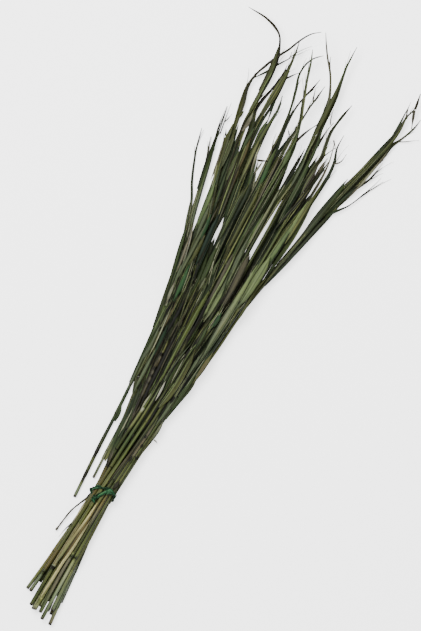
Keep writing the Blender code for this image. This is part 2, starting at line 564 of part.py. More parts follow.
def main():
    for thing in list(bpy.data.objects):
        bpy.data.objects.remove(thing, do_unlink=True)
    rods = make_rods()
    worst = Settling(rods).run()
    print("least clearance short by", round(worst, 3), "mm")
    pick = random.Random(7)
    things = []
    for k, rod in enumerate(rods):
        if rod.kind == "cane":
            things.append(make_cane(rod, CANE_COLOURS[k % len(CANE_COLOURS)]))
        elif rod.kind == "leaf":
            twist = pick.uniform(-16, 16), pick.uniform(-34, 34)
            things.append(make_leaf(rod, LEAF_COLOURS[k % len(LEAF_COLOURS)], twist))
        else:
            things.append(make_stalk(rod))
    things.append(make_twine(rods))
    centre_on_origin(things)


main()
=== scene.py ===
"""Bunch of reeds: the finish of its canes, leaves, withered stalk and twine.

Lengths in the tables are millimetres from the middle of the tie: X across the bunch, Y along it towards
the leaf tips, Z up from the surface. MM and TIE turn them into the frame's metres. Each CAD piece is read
back as a line with its half width, and a Geometry Nodes tree sweeps a natural profile along it.
"""

import math
import random

import bmesh
import bpy
import numpy as np
from bpy.props import FloatProperty, FloatVectorProperty, IntProperty, PointerProperty
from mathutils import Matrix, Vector


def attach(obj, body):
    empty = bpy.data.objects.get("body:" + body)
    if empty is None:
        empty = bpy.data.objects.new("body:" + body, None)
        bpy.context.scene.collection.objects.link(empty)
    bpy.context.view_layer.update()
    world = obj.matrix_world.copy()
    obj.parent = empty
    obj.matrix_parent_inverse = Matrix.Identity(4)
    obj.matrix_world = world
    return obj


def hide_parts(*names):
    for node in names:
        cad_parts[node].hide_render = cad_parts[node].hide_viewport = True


bl_info = {
    "name": "Bunch of reeds",
    "version": (1, 0),
    "blender": (4, 5, 0),
    "location": "View3D > Sidebar > Reeds",
    "description": "Finishes the canes, leaves and twine of a tied bunch of reeds",
    "category": "Add Mesh",
}

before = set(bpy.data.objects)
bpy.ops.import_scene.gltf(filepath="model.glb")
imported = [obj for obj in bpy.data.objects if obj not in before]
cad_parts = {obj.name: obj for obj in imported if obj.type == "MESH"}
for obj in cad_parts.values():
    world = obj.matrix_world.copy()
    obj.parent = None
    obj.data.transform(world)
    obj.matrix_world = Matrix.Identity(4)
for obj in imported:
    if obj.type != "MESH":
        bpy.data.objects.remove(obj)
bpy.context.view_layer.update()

MM = 0.001
TIE = np.array((-30.013, -231.481, -0.154))  # the tie's middle in the frame
PHOTO_LEAN = 25.5  # degrees from the picture's upright to the bunch's length
PHOTO_MIDDLE = (25.2, 259.2)  # what the middle of the picture shows
PHOTO_HEIGHT = 789.0  # length that the picture's height takes in
VIEWED_LEVEL = 22.0  # height of the leaves that the view is scaled for
PRESSED = 0.0005  # metres over the floor below which a piece is pressed flat
FLOOR_HALF = 30.0  # metres from the floor's middle to its edge
FLOOR_LEVEL = -0.0004  # metres, a little under the pieces that rest on it

CANES = range(1, 22)
LEAVES = range(1, 38)
CANE_SIDES_IN_CAD = 6
LEAF_SIDES_IN_CAD = 6
STALK_SIDES_IN_CAD = 5
TWINE_SIDES_IN_CAD = 6

# First numbers of the random draws of each step. A cane or leaf adds its own number
CANE_SEED = 100
LEAF_SEED = 200
TWINE_SEED = 8
STRIP_SEED = 31
FILLING_SEED = 5
THREAD_SEED = 77

JOINT_REACH = 3  # length of the steps in a solid cane that mark a joint
NEAR_ALONG = 6  # how far along the bunch a piece still counts as near a place
PATH_STEP = 6.0  # spacing of the places at which a strip is laid on the bunch
LOWEST = 0.8  # height that a loose blade keeps over the surface
SHORT_STRIP = 24  # length below which a strip sinks into the gaps instead of bridging them
BROAD_STRIP = 5.5  # width from which a strip shows fibres
BROADEST_STRIP = 8  # width from which it shows twice as many
BROAD_LEAF = 1.3  # half width from which a leaf has companion blades
SPOTTED_CANE = 8
SPOTS = (119, 148, 158, 169, 188)  # places along Y of its dark rounds
SPOT_HALF = 2.2
SPOTTED_STRETCH = ((-17, -8), (115, 210))  # where it shows, across and along the bunch
PLIES = 3  # plies of the twine
PLY_TURN = 17  # length in which a ply goes once round
TWINE_LIFT = 1.3  # height of the twine's middle over the canes that it lies on
TIE_TOP = 24.0  # height from which the twine lies on top of the canes

# Finish of a blade: its darkest band, what a band adds, and how deep its seams and streaks are
BLADE_FINISH = {"leaf": (0.36, 1.05, 0.66, 0.8), "sheath": (0.68, 0.34, 0.58, 0.70)}
ROUGHNESS = {"leaf": 0.58, "sheath": 0.58, "cane": 0.46, "twine": 0.85, "stalk": 0.75}
GLOSS = 0.1

# What the tint is multiplied by in warm clouds, dry streaks, along the midrib, at the edges and in specks
WARM = (1.16, 1.02, 0.74, 1)
STREAK = (1.7, 1.65, 1.6, 1)
MIDRIB = (1.5, 1.45, 1.3, 1)
DRY_EDGE = (1.3, 1.1, 0.8, 1)
SPECK = (0.40, 0.37, 0.30, 1)

# The fan of leaves seen from above: along the bunch, its left and right edge
FAN = np.array([(-150, -34, 10), (-50, -19, 11), (0, -12, 12), (55, -14, 19), (120, -20, 30),
                (200, -30, 47), (290, -41, 63), (340, -49, 66), (400, -52, 76), (460, -54, 80)],
                dtype=float)

# Tones along each cane, from its cut end: place along Y and tone
CANE_TONES = {
    1: ((-149, "grey_green"), (-125, "olive"), (-100, "olive_brown"), (-60, "olive"), (0, "olive"),
        (25, "olive_brown"), (45, "olive_dark"), (85, "olive_dark"), (95, "olive_light"),
        (116, "olive_light"), (117, "pale"), (136, "pale"), (142, "moss"), (180, "moss_bright"),
        (250, "moss_bright"), (330, "olive_light"), (430, "olive")),
    2: ((-150, "grey_green"), (-126, "grey_green"), (-123, "olive_dark"), (-118, "olive_dark"),
        (-114, "olive_brown"), (-80, "olive_brown"), (-60, "olive"), (-30, "olive"), (0, "olive_brown"),
        (40, "olive"), (75, "leaf"), (110, "olive"), (160, "grey_green"), (200, "olive"),
        (420, "olive_dark")),
    3: ((-165, "olive_dark"), (-140, "olive_dark"), (-120, "olive"), (-113, "olive_dark"),
        (-112, "black_green"), (-108.5, "black_green"), (-107.5, "grey_green_light"),
        (-96, "grey_green_light"), (-85, "olive_light"), (-60, "olive"), (-20, "olive"),
        (20, "olive_light"), (50, "moss"), (90, "moss"), (110, "olive"), (150, "olive_dark"),
        (200, "olive_dark"), (440, "olive_dark")),
    4: ((-168, "grey_green_light"), (-155, "olive"), (-152.5, "olive"), (-151, "straw_green"),
        (-120, "straw_green"), (-105, "olive_brown"), (-80, "brown"), (-50, "brown"), (-20, "olive_brown"),
        (-5, "olive"), (20, "olive_dark"), (60, "brown_dark"), (100, "olive_dark"), (128, "olive"),
        (150, "olive"), (200, "olive"), (430, "olive_dark")),
    5: ((-168, "leaf"), (-130, "grey_brown"), (-92, "grey_brown"), (-89, "olive_dark"), (-85, "olive_dark"),
        (-83, "olive_light"), (-65, "olive"), (-50, "olive_dark"), (-30, "grey_brown"),
        (-10, "olive_brown"), (12, "olive_dark"), (25, "olive"), (56, "olive"), (59, "grey_straw"),
        (72, "tan"), (95, "grey_straw"), (110, "moss"), (113, "straw_green"), (116, "leaf_light"),
        (141, "grey_green"), (142, "black_green"), (148, "black_green"), (150, "grey_green_light"),
        (172, "grey_green_light"), (173, "black_green"), (177, "black_green"), (179, "straw_green"),
        (201, "grey_green_light"), (203, "black_green"), (205, "grey_green_light"), (245, "leaf_light"),
        (440, "olive")),
    6: ((-175, "olive_dark"), (-140, "sage"), (-110, "grey_green_light"), (-91, "olive_light"),
        (-89, "olive_dark"), (-85, "olive_dark"), (-83, "olive"), (-40, "olive_dark"), (0, "olive"),
        (17, "olive"), (20, "olive_light"), (50, "moss"), (63, "olive"), (72, "moss"), (79, "olive"),
        (100, "moss"), (125, "olive_light"), (145, "grey_green"), (170, "leaf_dark"), (230, "leaf_dark"),
        (430, "olive_dark")),
    7: ((-178, "grey_brown"), (-154, "grey_green"), (-152, "black_green"), (-149, "sage"), (-139, "sage"),
        (-137, "leaf_dark"), (-134, "sage"), (-105, "sage"), (-70, "olive_light"), (-20, "olive_dark"),
        (12, "black_green"), (22, "black_green"), (25, "olive"), (55, "olive"), (62, "olive_dark"),
        (85, "grey_green"), (130, "grey_green"), (165, "leaf_dark"), (180, "olive"), (192, "brown"),
        (215, "olive"), (300, "olive"), (430, "leaf_dark")),
    8: ((-169, "grey_green_light"), (-120, "olive"), (-60, "olive_light"), (0, "olive_brown"),
        (60, "black_green"), (98, "brown_dark"), (105, "grey_brown"), (112, "brown_dark"),
        (131, "brown_dark"), (135, "grey_brown"), (145, "grey_brown"), (148, "black_green"),
        (151, "grey_brown"), (156, "grey_straw"), (158, "black_green"), (161, "grey_straw"),
        (167, "grey_brown"), (170, "brown_dark"), (174, "tan"), (187, "pink_grey"), (190, "black_green"),
        (193, "straw_green"), (203, "straw_green"), (208, "olive_dark"), (420, "olive_dark")),
    9: ((-162, "grey_green"), (-80, "olive"), (0, "olive"), (80, "brown_dark"), (200, "brown_dark"),
        (400, "olive_dark")),
    10: ((-160, "sage"), (-100, "olive_light"), (-40, "olive"), (20, "olive_dark"), (120, "olive_dark"),
        (430, "olive")),
    12: ((-147, "grey_green"), (-80, "olive_light"), (0, "olive_brown"), (80, "brown_dark"),
        (410, "olive_dark")),
    13: ((-134, "black_green"), (-120, "olive_dark"), (-60, "olive"), (0, "olive_dark"), (60, "leaf"),
        (100, "grey_green"), (140, "olive"), (410, "olive")),
    16: ((-147, "grey_green"), (-104, "leaf"), (-60, "grey_green"), (0, "olive_dark"), (430, "olive_dark")),
    20: ((-20, "grey_green"), (-5, "grey_green"), (2, "olive"), (3, "black_green"), (18, "black_green"),
        (19, "olive_dark"), (36, "olive"), (38, "black_green"), (49, "black_green"), (51, "olive_dark"),
        (85, "leaf_dark"), (95, "leaf"), (100, "leaf"), (130, "leaf_dark"), (140, "grey_green"),
        (165, "grey_green"), (175, "leaf"), (410, "olive")),
    21: ((12, "grey_brown"), (22, "grey_green"), (40, "grey_green_light"), (50, "leaf"), (75, "leaf_dark"),
        (100, "olive"), (145, "grey_green"), (410, "olive")),
}
PLAIN_CANE = ("olive", "olive_dark", "olive_brown", "leaf_dark")

# Tones along each leaf, from its base to its tip
LEAF_TONES = (
    ("olive_dark", "grey_green", "leaf_dark"),
    ("straw_green", "brown", "grey_green", "leaf", "leaf_dark"),
    ("leaf_dark", "grey_brown"),
    ("olive", "olive_light", "olive_light", "olive", "brown_dark", "black_green"),
    ("leaf", "olive_brown", "leaf", "olive_light", "olive", "olive_dark", "brown_dark", "brown_dark"),
    ("leaf_dark", "brown_dark"),
    ("leaf", "leaf", "leaf", "olive_dark", "olive", "olive_dark"),
    ("brown_dark", "black_green", "brown_dark"),
    ("leaf_dark", "olive", "leaf_dark"),
    ("leaf", "olive", "olive_light"),
    ("teal", "teal", "brown_dark", "brown", "leaf", "olive"),
    ("teal", "brown_dark", "olive_light", "leaf"),
    ("leaf", "grey_green_light", "grey_green_light"),
    ("pale", "bone", "bone", "pink_grey"),
    ("emerald_dark", "leaf_dark", "leaf"),
    ("grey_green", "leaf", "leaf_dark", "leaf"),
    ("leaf_dark", "leaf_dark", "olive_dark", "leaf_dark"),
    ("olive", "leaf_dark", "brown_dark"),
    ("leaf", "leaf", "olive_light", "sage"),
    ("leaf_dark", "leaf", "brown_dark"),
    ("leaf_light", "leaf", "leaf", "leaf_light"),
    ("black_green", "leaf_dark"),
    ("straw", "straw_green", "grey_green_light", "leaf_light", "leaf"),
    ("leaf_dark", "leaf", "leaf", "leaf", "grey_green", "grey_brown", "grey_brown"),
    ("leaf_dark", "leaf", "olive", "leaf"),
    ("leaf_dark", "black_green"),
    ("leaf", "leaf", "leaf"),
    ("leaf_dark", "leaf_dark", "emerald", "olive_dark", "olive_dark"),
    ("leaf", "olive_dark", "leaf_dark"),
    ("leaf_light", "leaf_light", "straw_green", "moss", "moss", "moss"),
    ("olive_dark", "leaf_dark", "olive_dark"),
    ("grey_brown", "olive_dark"),
    ("leaf_dark", "leaf", "leaf_dark"),
    ("leaf_dark", "olive", "olive_dark", "olive"),
    ("leaf_dark", "olive_dark", "olive", "olive_dark"),
    ("leaf", "leaf_dark", "black_green", "black_green"),
    ("leaf", "leaf_dark", "black_green"),
)

# How much wider or narrower some leaves are than their solids: place along Y and share
LEAF_WIDTHS = {
    2: ((450, 1.0), (475, 0.5)),
    4: ((535, 1.0), (560, 1.35), (600, 1.35), (640, 1.2)),
    5: ((612, 1.0), (617, 1.5)),
    17: ((540, 1.0), (560, 1.3)),
    19: ((530, 1.0), (560, 1.3)),
    20: ((480, 0.8), (500, 0.7)),
    22: ((475, 1.0), (490, 0.55)),
    24: ((500, 1.0), (530, 0.8), (565, 0.8), (600, 1.1)),
    25: ((490, 1.0), (505, 0.8), (535, 0.8), (560, 1.3)),
    26: ((440, 1.0), (470, 1.2)),
    27: ((470, 1.0), (495, 0.6), (538, 0.5)),
    28: ((530, 1.0), (550, 1.2)),
    36: ((436, 1.3), (482, 1.2), (498, 1.3), (502, 0.6), (505, 1.3), (519, 1.2)),
    37: ((440, 1.0), (450, 0.9), (454, 0.5), (458, 1.2), (468, 1.2), (471, 0.5), (474, 1.3), (493, 1.3)),
}

# Sheath strips and short blades on top of the bunch, and near-black strips of painted shade over the gaps
# between leaves: tone, then (x, y, width) along each
STRIPS = (
    ("pale", ((-13.6, 58, 1.2), (-13.1, 85, 1.6), (-12.4, 114, 1.2))),
    ("pale", ((-2.8, 116, 1.6), (-1.8, 126, 2.6), (0.2, 139, 1.2))),
    ("bone", ((9.0, 134, 1.8), (9.5, 148, 3.0), (9.8, 161, 1.8))),
    ("pale", ((17.0, 162, 1.2), (17.6, 180, 1.7), (18.3, 197, 1.0))),
    ("olive", ((17, 128, 5), (20, 140, 8), (23.5, 160, 9), (25.5, 185, 8.5), (26.5, 210, 6))),
    (("grey_green", "grey_green_light", "pale"), ((25.0, 83, 1.2), (26.4, 92, 3.6), (27.6, 102, 4.0),
        (28.8, 114, 1.2))),
    ("grey_green", ((-27.8, 174, 3), (-26.6, 184, 4), (-26, 205, 3.6), (-26.4, 222, 3))),
    ("pale", ((-22.6, 180, 1.0), (-22.0, 200, 1.7), (-22.6, 222, 1.6), (-23.6, 245, 1.0))),
    ("sage", ((-20.5, 130, 2.4), (-19.4, 158, 5), (-18.6, 180, 4), (-18.4, 198, 2.4))),
    ("emerald_dark", ((-17.5, 183, 3), (-17, 202, 5.5), (-17.5, 226, 4))),
    # A strip of painted shade over a gap between leaves
    ("near_black", ((-5.4, 118, 3), (-5.0, 150, 4.6), (-4.6, 180, 5), (-4, 215, 3.6))),
    ("grey_brown", ((-7, 104, 1.2), (-4.4, 130, 2), (-3.2, 160, 2.4), (-2.2, 190, 2.2), (-1.8, 217, 1.4))),
    ("sage", ((22.5, 106, 2.4), (26, 125, 4), (29, 148, 4), (31.5, 170, 4), (33.5, 190, 5.4),
        (36, 212, 4))),
    ("leaf", ((31, 124, 2), (34.2, 145, 4.5), (38, 170, 5.0), (40.4, 188, 3))),
    (("olive_light", "tan", "olive_light"), ((41.5, 172, 2), (44.0, 190, 4.6), (46.2, 206, 4.6),
        (47.8, 219, 2))),
    (("pink_grey", "cream", "straw"), ((-18.8, -50, 1.2), (-17.4, -35, 2.4), (-15.6, -14, 2.2))),
    (("cream", "cream", "straw", "straw_green", "grey_green_light"),
        ((-1.6, -13, 2.6), (-5.3, -40, 3.2), (-8.9, -60, 3.7), (-12.1, -80, 3.9), (-15.8, -104, 3.6))),
    (("grey_brown", "cream", "cream", "cream", "cream"), ((0.4, -32, 1.4), (-2.9, -60, 2.8),
        (-5.3, -80, 3.4), (-8.9, -100, 3.8), (-10.9, -118, 4.0), (-15, -149, 3.4))),
    ("brown_dark", ((8.6, 11, 3), (10, 16.5, 6.5), (11.4, 23, 4))),
    ("black_green", ((11.2, 50, 2), (11.7, 54.5, 3.2), (12.4, 59, 1.6))),
    ("black_green", ((17.8, 55.5, 2.4), (18.3, 58.5, 3.8), (18.8, 62, 2))),
    ("black_green", ((17, 72.5, 2), (17.5, 75.2, 3.2), (18.1, 78, 1.6))),
    ("black_green", ((16.9, 85, 1.8), (17.2, 87.4, 3), (17.5, 90, 1.6))),
    ("black_green", ((27.2, 138, 1.6), (28.0, 143.5, 4.0), (29.2, 149, 1.4))),
    ("black_green", ((31, 170, 3), (31.6, 175, 5), (32.4, 180, 3))),
    ("black_green", ((36.5, 199.5, 2.4), (36.9, 203, 4.5), (37.4, 206.5, 2))),
    ("leaf", ((13, 150, 3), (14, 175, 4.5), (16.5, 203, 4))),
    ("grey_green", ((6.4, 160, 1.2), (9.7, 178, 1.6), (13, 195, 1.6), (18.5, 218, 1.2))),
    ("pale", ((14, 190, 0.9), (18, 203, 1.3), (23.5, 217, 0.9))),
    ("leaf", ((-40, 290, 3), (-44.5, 315, 4), (-48.5, 342, 4.5))),
    ("grey_green", ((-31.5, 285, 3), (-31, 305, 4.5), (-29.5, 335, 4), (-29, 362, 3))),
    ("emerald", ((-24.5, 256, 2.5), (-24, 272, 5.5), (-24.5, 292, 5.5), (-25.5, 308, 3))),
    ("olive", ((-26, 305, 4), (-25, 325, 5.5), (-24, 347, 4))),
    ("teal", ((-18.5, 308, 4), (-18.5, 335, 6.5), (-19, 360, 6.5), (-19.5, 378, 3))),
    ("leaf", ((-29.5, 205, 4), (-29.5, 230, 6), (-29, 250, 5))),
    ("tan", ((-21, 222, 2.4), (-20.5, 245, 3), (-20, 266, 2.4))),
    ("grey_brown", ((-8.6, 212, 1.6), (-7.8, 236, 2.2))),
    ("leaf", ((-9.5, 266, 4), (-9, 295, 5.5), (-11, 328, 5))),
    ("leaf", ((-3.5, 285, 4), (-3.5, 305, 6.5), (-5, 338, 6))),
    ("grey_green_light", ((-1.8, 280, 1.5), (-1, 292, 3.2), (-1.5, 304, 1.5))),
    (("grey_brown", "sage", "leaf"), ((2.5, 245, 3), (3, 270, 4.2), (3.5, 300, 3.6), (5.5, 332, 3))),
    ("grey_brown", ((16, 266, 3), (17, 295, 4.6), (17.5, 340, 4.5))),
    ("moss", ((18, 212, 2), (18.5, 232, 3.2), (19, 248, 2.6))),
    ("moss_bright", ((4.4, 158, 3.0), (5.2, 185, 4.4), (6.2, 208, 5.2), (7.4, 232, 5.6), (8.8, 257, 5.4),
        (10.4, 286, 3.6))),
    ("brown", ((6, 266, 1.4), (6.8, 282, 2.2), (7.6, 298, 1.4))),
    # Strips of painted shade over gaps between leaves
    ("near_black", ((-15, 212, 3), (-13, 235, 5), (-11.5, 258, 4), (-11, 275, 2))),
    ("near_black", ((1.5, 205, 2), (3, 235, 2.6), (4, 262, 1.6))),
    ("near_black", ((12.6, 208, 2), (14, 240, 3), (15, 275, 3), (15.4, 300, 1.6))),
    ("olive_light", ((21.5, 224, 1.6), (24, 238, 2.8), (27, 253, 2.2))),
    ("emerald", ((32.5, 243, 1.5), (33.6, 250, 5.5), (34.6, 259, 7), (36, 268, 4))),
    ("grey_brown", ((33, 267, 3), (34, 282, 5.5), (35.5, 310, 7.5), (36, 335, 7), (36, 350, 4))),
    ("leaf", ((26.5, 213, 4), (27, 230, 6), (28, 247, 4))),
    (("sage", "sage", "grey_green_light", "sedge", "sedge"),
        ((36, 188, 1.6), (38.8, 208, 3.8), (41, 232, 8.6), (44.2, 262, 11), (47, 290, 9), (49.5, 318, 6),
        (51, 342, 3))),
    ("olive_light", ((50.5, 248, 2), (52.5, 270, 3), (54.5, 293, 2.4))),
    (("sage", "sedge", "sedge", "sedge"), ((51.5, 282, 4), (54.5, 303, 10), (56.8, 325, 12.5),
        (59.5, 347, 9), (61, 358, 4))),
    ("leaf_light", ((59, 332, 4), (62, 356, 9), (65.5, 382, 8), (69, 408, 4))),
    (("grey_green_light", "sedge", "sage", "sage", "sage"), ((20.8, 248, 4), (22.8, 272, 8), (24.5, 305, 9),
        (25.2, 338, 7), (26, 360, 3.4), (27, 378, 1.4))),
    ("sedge", ((17.5, 250, 2.4), (18.6, 275, 3), (20, 305, 3), (21, 338, 2))),
    (("grey_straw", "pale", "grey_straw"), ((-31.2, 248, 2), (-32.4, 262, 4), (-33.2, 280, 2))),
    ("pink_grey", ((-36.4, 290, 1.6), (-38.0, 312, 3.2), (-40.6, 336, 2.6))),
    ("sage", ((-33, 272, 2), (-33.6, 296, 4), (-34.6, 318, 3))),
    ("olive", ((57.5, 262, 3), (60, 285, 4), (63, 315, 4), (68, 331, 3))),
    ("pink_grey", ((-47.5, 412, 2.4), (-49, 430, 2.6), (-52.5, 455, 1.8), (-57, 476, 0.8))),
    ("leaf_light", ((-37.5, 346, 4), (-38.5, 370, 7.5), (-39.4, 392, 6.5), (-41.5, 414, 3))),
    ("grey_green", ((-33, 338, 4), (-34, 360, 5.5), (-35, 380, 5))),
    ("emerald", ((-27, 340, 3), (-27.5, 356, 5.5), (-28.4, 374, 3))),
    ("olive", ((-42.5, 428, 3), (-44, 455, 6.5), (-46.5, 480, 5))),
    ("moss", ((-30, 420, 4), (-30.5, 440, 6), (-31, 460, 4))),
    ("olive_brown", ((-21.5, 438, 2.6), (-23, 460, 4), (-25.5, 484, 3))),
    ("olive_light", ((-23.5, 442, 1.6), (-25.5, 462, 2.6), (-27, 480, 1.6))),
    ("olive_light", ((-13, 425, 4), (-13.5, 450, 6), (-14, 482, 6))),
    (("leaf_dark", "leaf", "leaf_dark", "olive"), ((-6, 345, 4), (-5, 380, 5.6), (-4, 410, 5.6),
        (-2, 428, 3))),
    (("olive_dark", "olive"), ((-9.4, 372, 1.4), (-8, 395, 3), (-5.6, 424, 1.6))),
    (("leaf", "emerald", "leaf", "leaf"), ((9.4, 424, 3), (10.6, 444, 5.5), (9.6, 462, 5.5),
        (9.6, 482, 4))),
    ("olive", ((9, 335, 4), (9.5, 370, 6), (11, 405, 6), (12, 432, 4))),
    ("grey_brown", ((17, 400, 2), (17.5, 435, 2.6), (18, 477, 3))),
    ("grey_green_light", ((29.5, 350, 2), (31.5, 385, 2.6), (34, 418, 2.8), (35.5, 442, 1.6))),
    ("grey_green", ((46, 440, 1.4), (47, 460, 3.6), (48, 487, 4))),
    ("leaf", ((51, 400, 3), (52.5, 430, 6.5), (54, 465, 6.5), (54, 492, 4))),
    ("black_green", ((50.5, 385, 1.4), (56, 408, 1.8), (62, 430, 2.2), (68, 454, 2))),
    (("sage", "grey_green_light", "tan"), ((50.5, 386, 1.6), (56.5, 410, 3.2), (63, 432, 3.4),
        (69, 454, 1.6))),
    ("grey_brown", ((62, 440, 3), (64, 465, 6.5), (66, 487, 4))),
    ("olive_light", ((70.5, 380, 3), (74, 415, 5), (76.5, 440, 4), (78, 456, 2))),
    ("sedge", ((66, 372, 3), (70, 405, 4.4), (73.5, 440, 2.4))),
    (("grey_green", "olive_dark", "leaf"), ((88, 402, 3), (98, 440, 4.2), (107, 480, 4))),
    (("grey_green", "grey_straw", "pale", "grey_straw", "grey_green"),
        ((113.4, 454, 1.2), (119.4, 472, 2.2), (125.4, 491, 2.8), (130.8, 512, 2.8), (136, 534, 2.2),
        (138.6, 550, 1.2))),
    (("olive_light", "olive_light", "olive_light", "olive", "olive", "olive"),
        ((-41, 498, 2), (-40, 515, 4.6), (-39.2, 535, 4.4), (-38.8, 552, 5), (-38.2, 566, 6.4),
        (-39.4, 580, 5.4), (-41.4, 597, 2.4))),
    ("olive", ((44.5, 498, 1.6), (45.8, 520, 3), (46.6, 545, 5.4), (46.8, 565, 5.4), (46.8, 588, 2.8))),
    ("grey_green_light", ((47.4, 496, 0.8), (47.8, 510, 1.5), (48.0, 531, 1.0))),
    ("grey_green_light", ((23.0, 494, 1.2), (23.4, 505, 2.2), (23.8, 517, 1.2))),
    ("leaf_light", ((26, 462, 3), (26.5, 480, 5), (26.6, 492, 3))),
    ("leaf", ((-28.5, 462, 3), (-27.5, 480, 5), (-26, 496, 2.4))),
    # Strips of painted shade: near-black lines over the gaps between leaves
    ("near_black", ((10.6, 92, 1.6), (13.4, 112, 3.0), (14.8, 130, 2.6), (16.0, 155, 1.6),
        (16.4, 180, 0.8))),
    ("near_black", ((5, 94, 0.8), (6.5, 112, 1.5), (7.8, 135, 1.6), (8.2, 152, 0.8))),
    ("near_black", ((21, 106, 0.8), (22.6, 122, 2.4), (24.2, 140, 1.8))),
    ("near_black", ((30.2, 148, 1.0), (33, 170, 2.0), (34.4, 186, 1.6), (35.8, 198, 0.8))),
    ("near_black", ((-12.6, 112, 0.8), (-12.8, 145, 1.6), (-13.4, 182, 1.0))),
    ("near_black", ((-15.4, 184, 1.2), (-15.0, 202, 2.4), (-14.4, 222, 1.2))),
    ("near_black", ((1.2, 140, 0.8), (1.6, 170, 1.6), (1.8, 200, 1.2))),
    ("near_black", ((11, 165, 0.8), (12.4, 185, 1.8), (14.4, 200, 1.0))),
    ("near_black", ((17.6, 194, 1.2), (18.8, 203, 3.4), (20.4, 213, 1.2))),
    ("near_black", ((30.8, 184, 0.8), (31.6, 202, 2.0), (32.4, 220, 1.0))),
    ("near_black", ((18.2, 233, 1.2), (19.6, 243, 3.6), (21.6, 252, 1.2))),
    ("near_black", ((21.6, 213, 1.2), (24, 224, 3.8), (25.6, 234, 1.2))),
    ("near_black", ((31, 268, 0.8), (32, 295, 2.0), (32.4, 330, 1.4))),
    ("near_black", ((48.6, 281, 0.8), (50.2, 290, 2.2), (51, 298, 0.8))),
    ("near_black", ((52.6, 283, 0.8), (54.2, 290, 2.2), (56, 298, 0.8))),
    ("near_black", ((-26.4, 226, 0.8), (-26, 245, 1.8), (-25.6, 262, 0.8))),
    ("near_black", ((-8.4, 278, 0.8), (-8.2, 292, 2.4), (-8.8, 306, 0.8))),
    ("grey_brown", ((-26, 340, 1.4), (-25.6, 362, 2.2), (-24.8, 386, 1.4))),
    ("grey_straw", ((-0.6, 13, 0.6), (3.8, 38, 1.1), (7.2, 54, 1.1), (9.4, 65, 0.6))),
    (("grey_straw", "pale", "grey_green"), ((5.2, 420, 1.2), (2.6, 434, 2.4), (-0.6, 446, 1.4))),
    (("sage", "grey_straw", "pale", "sage"), ((-4.6, 436, 1.4), (-7.4, 450, 2.8), (-9.4, 466, 2.8),
        (-10.6, 482, 1.4))),
    # A strip of painted shade over a gap between leaves
    ("near_black", ((47.4, 240, 0.8), (48.6, 251, 2.4), (49.4, 264, 0.8))),
)

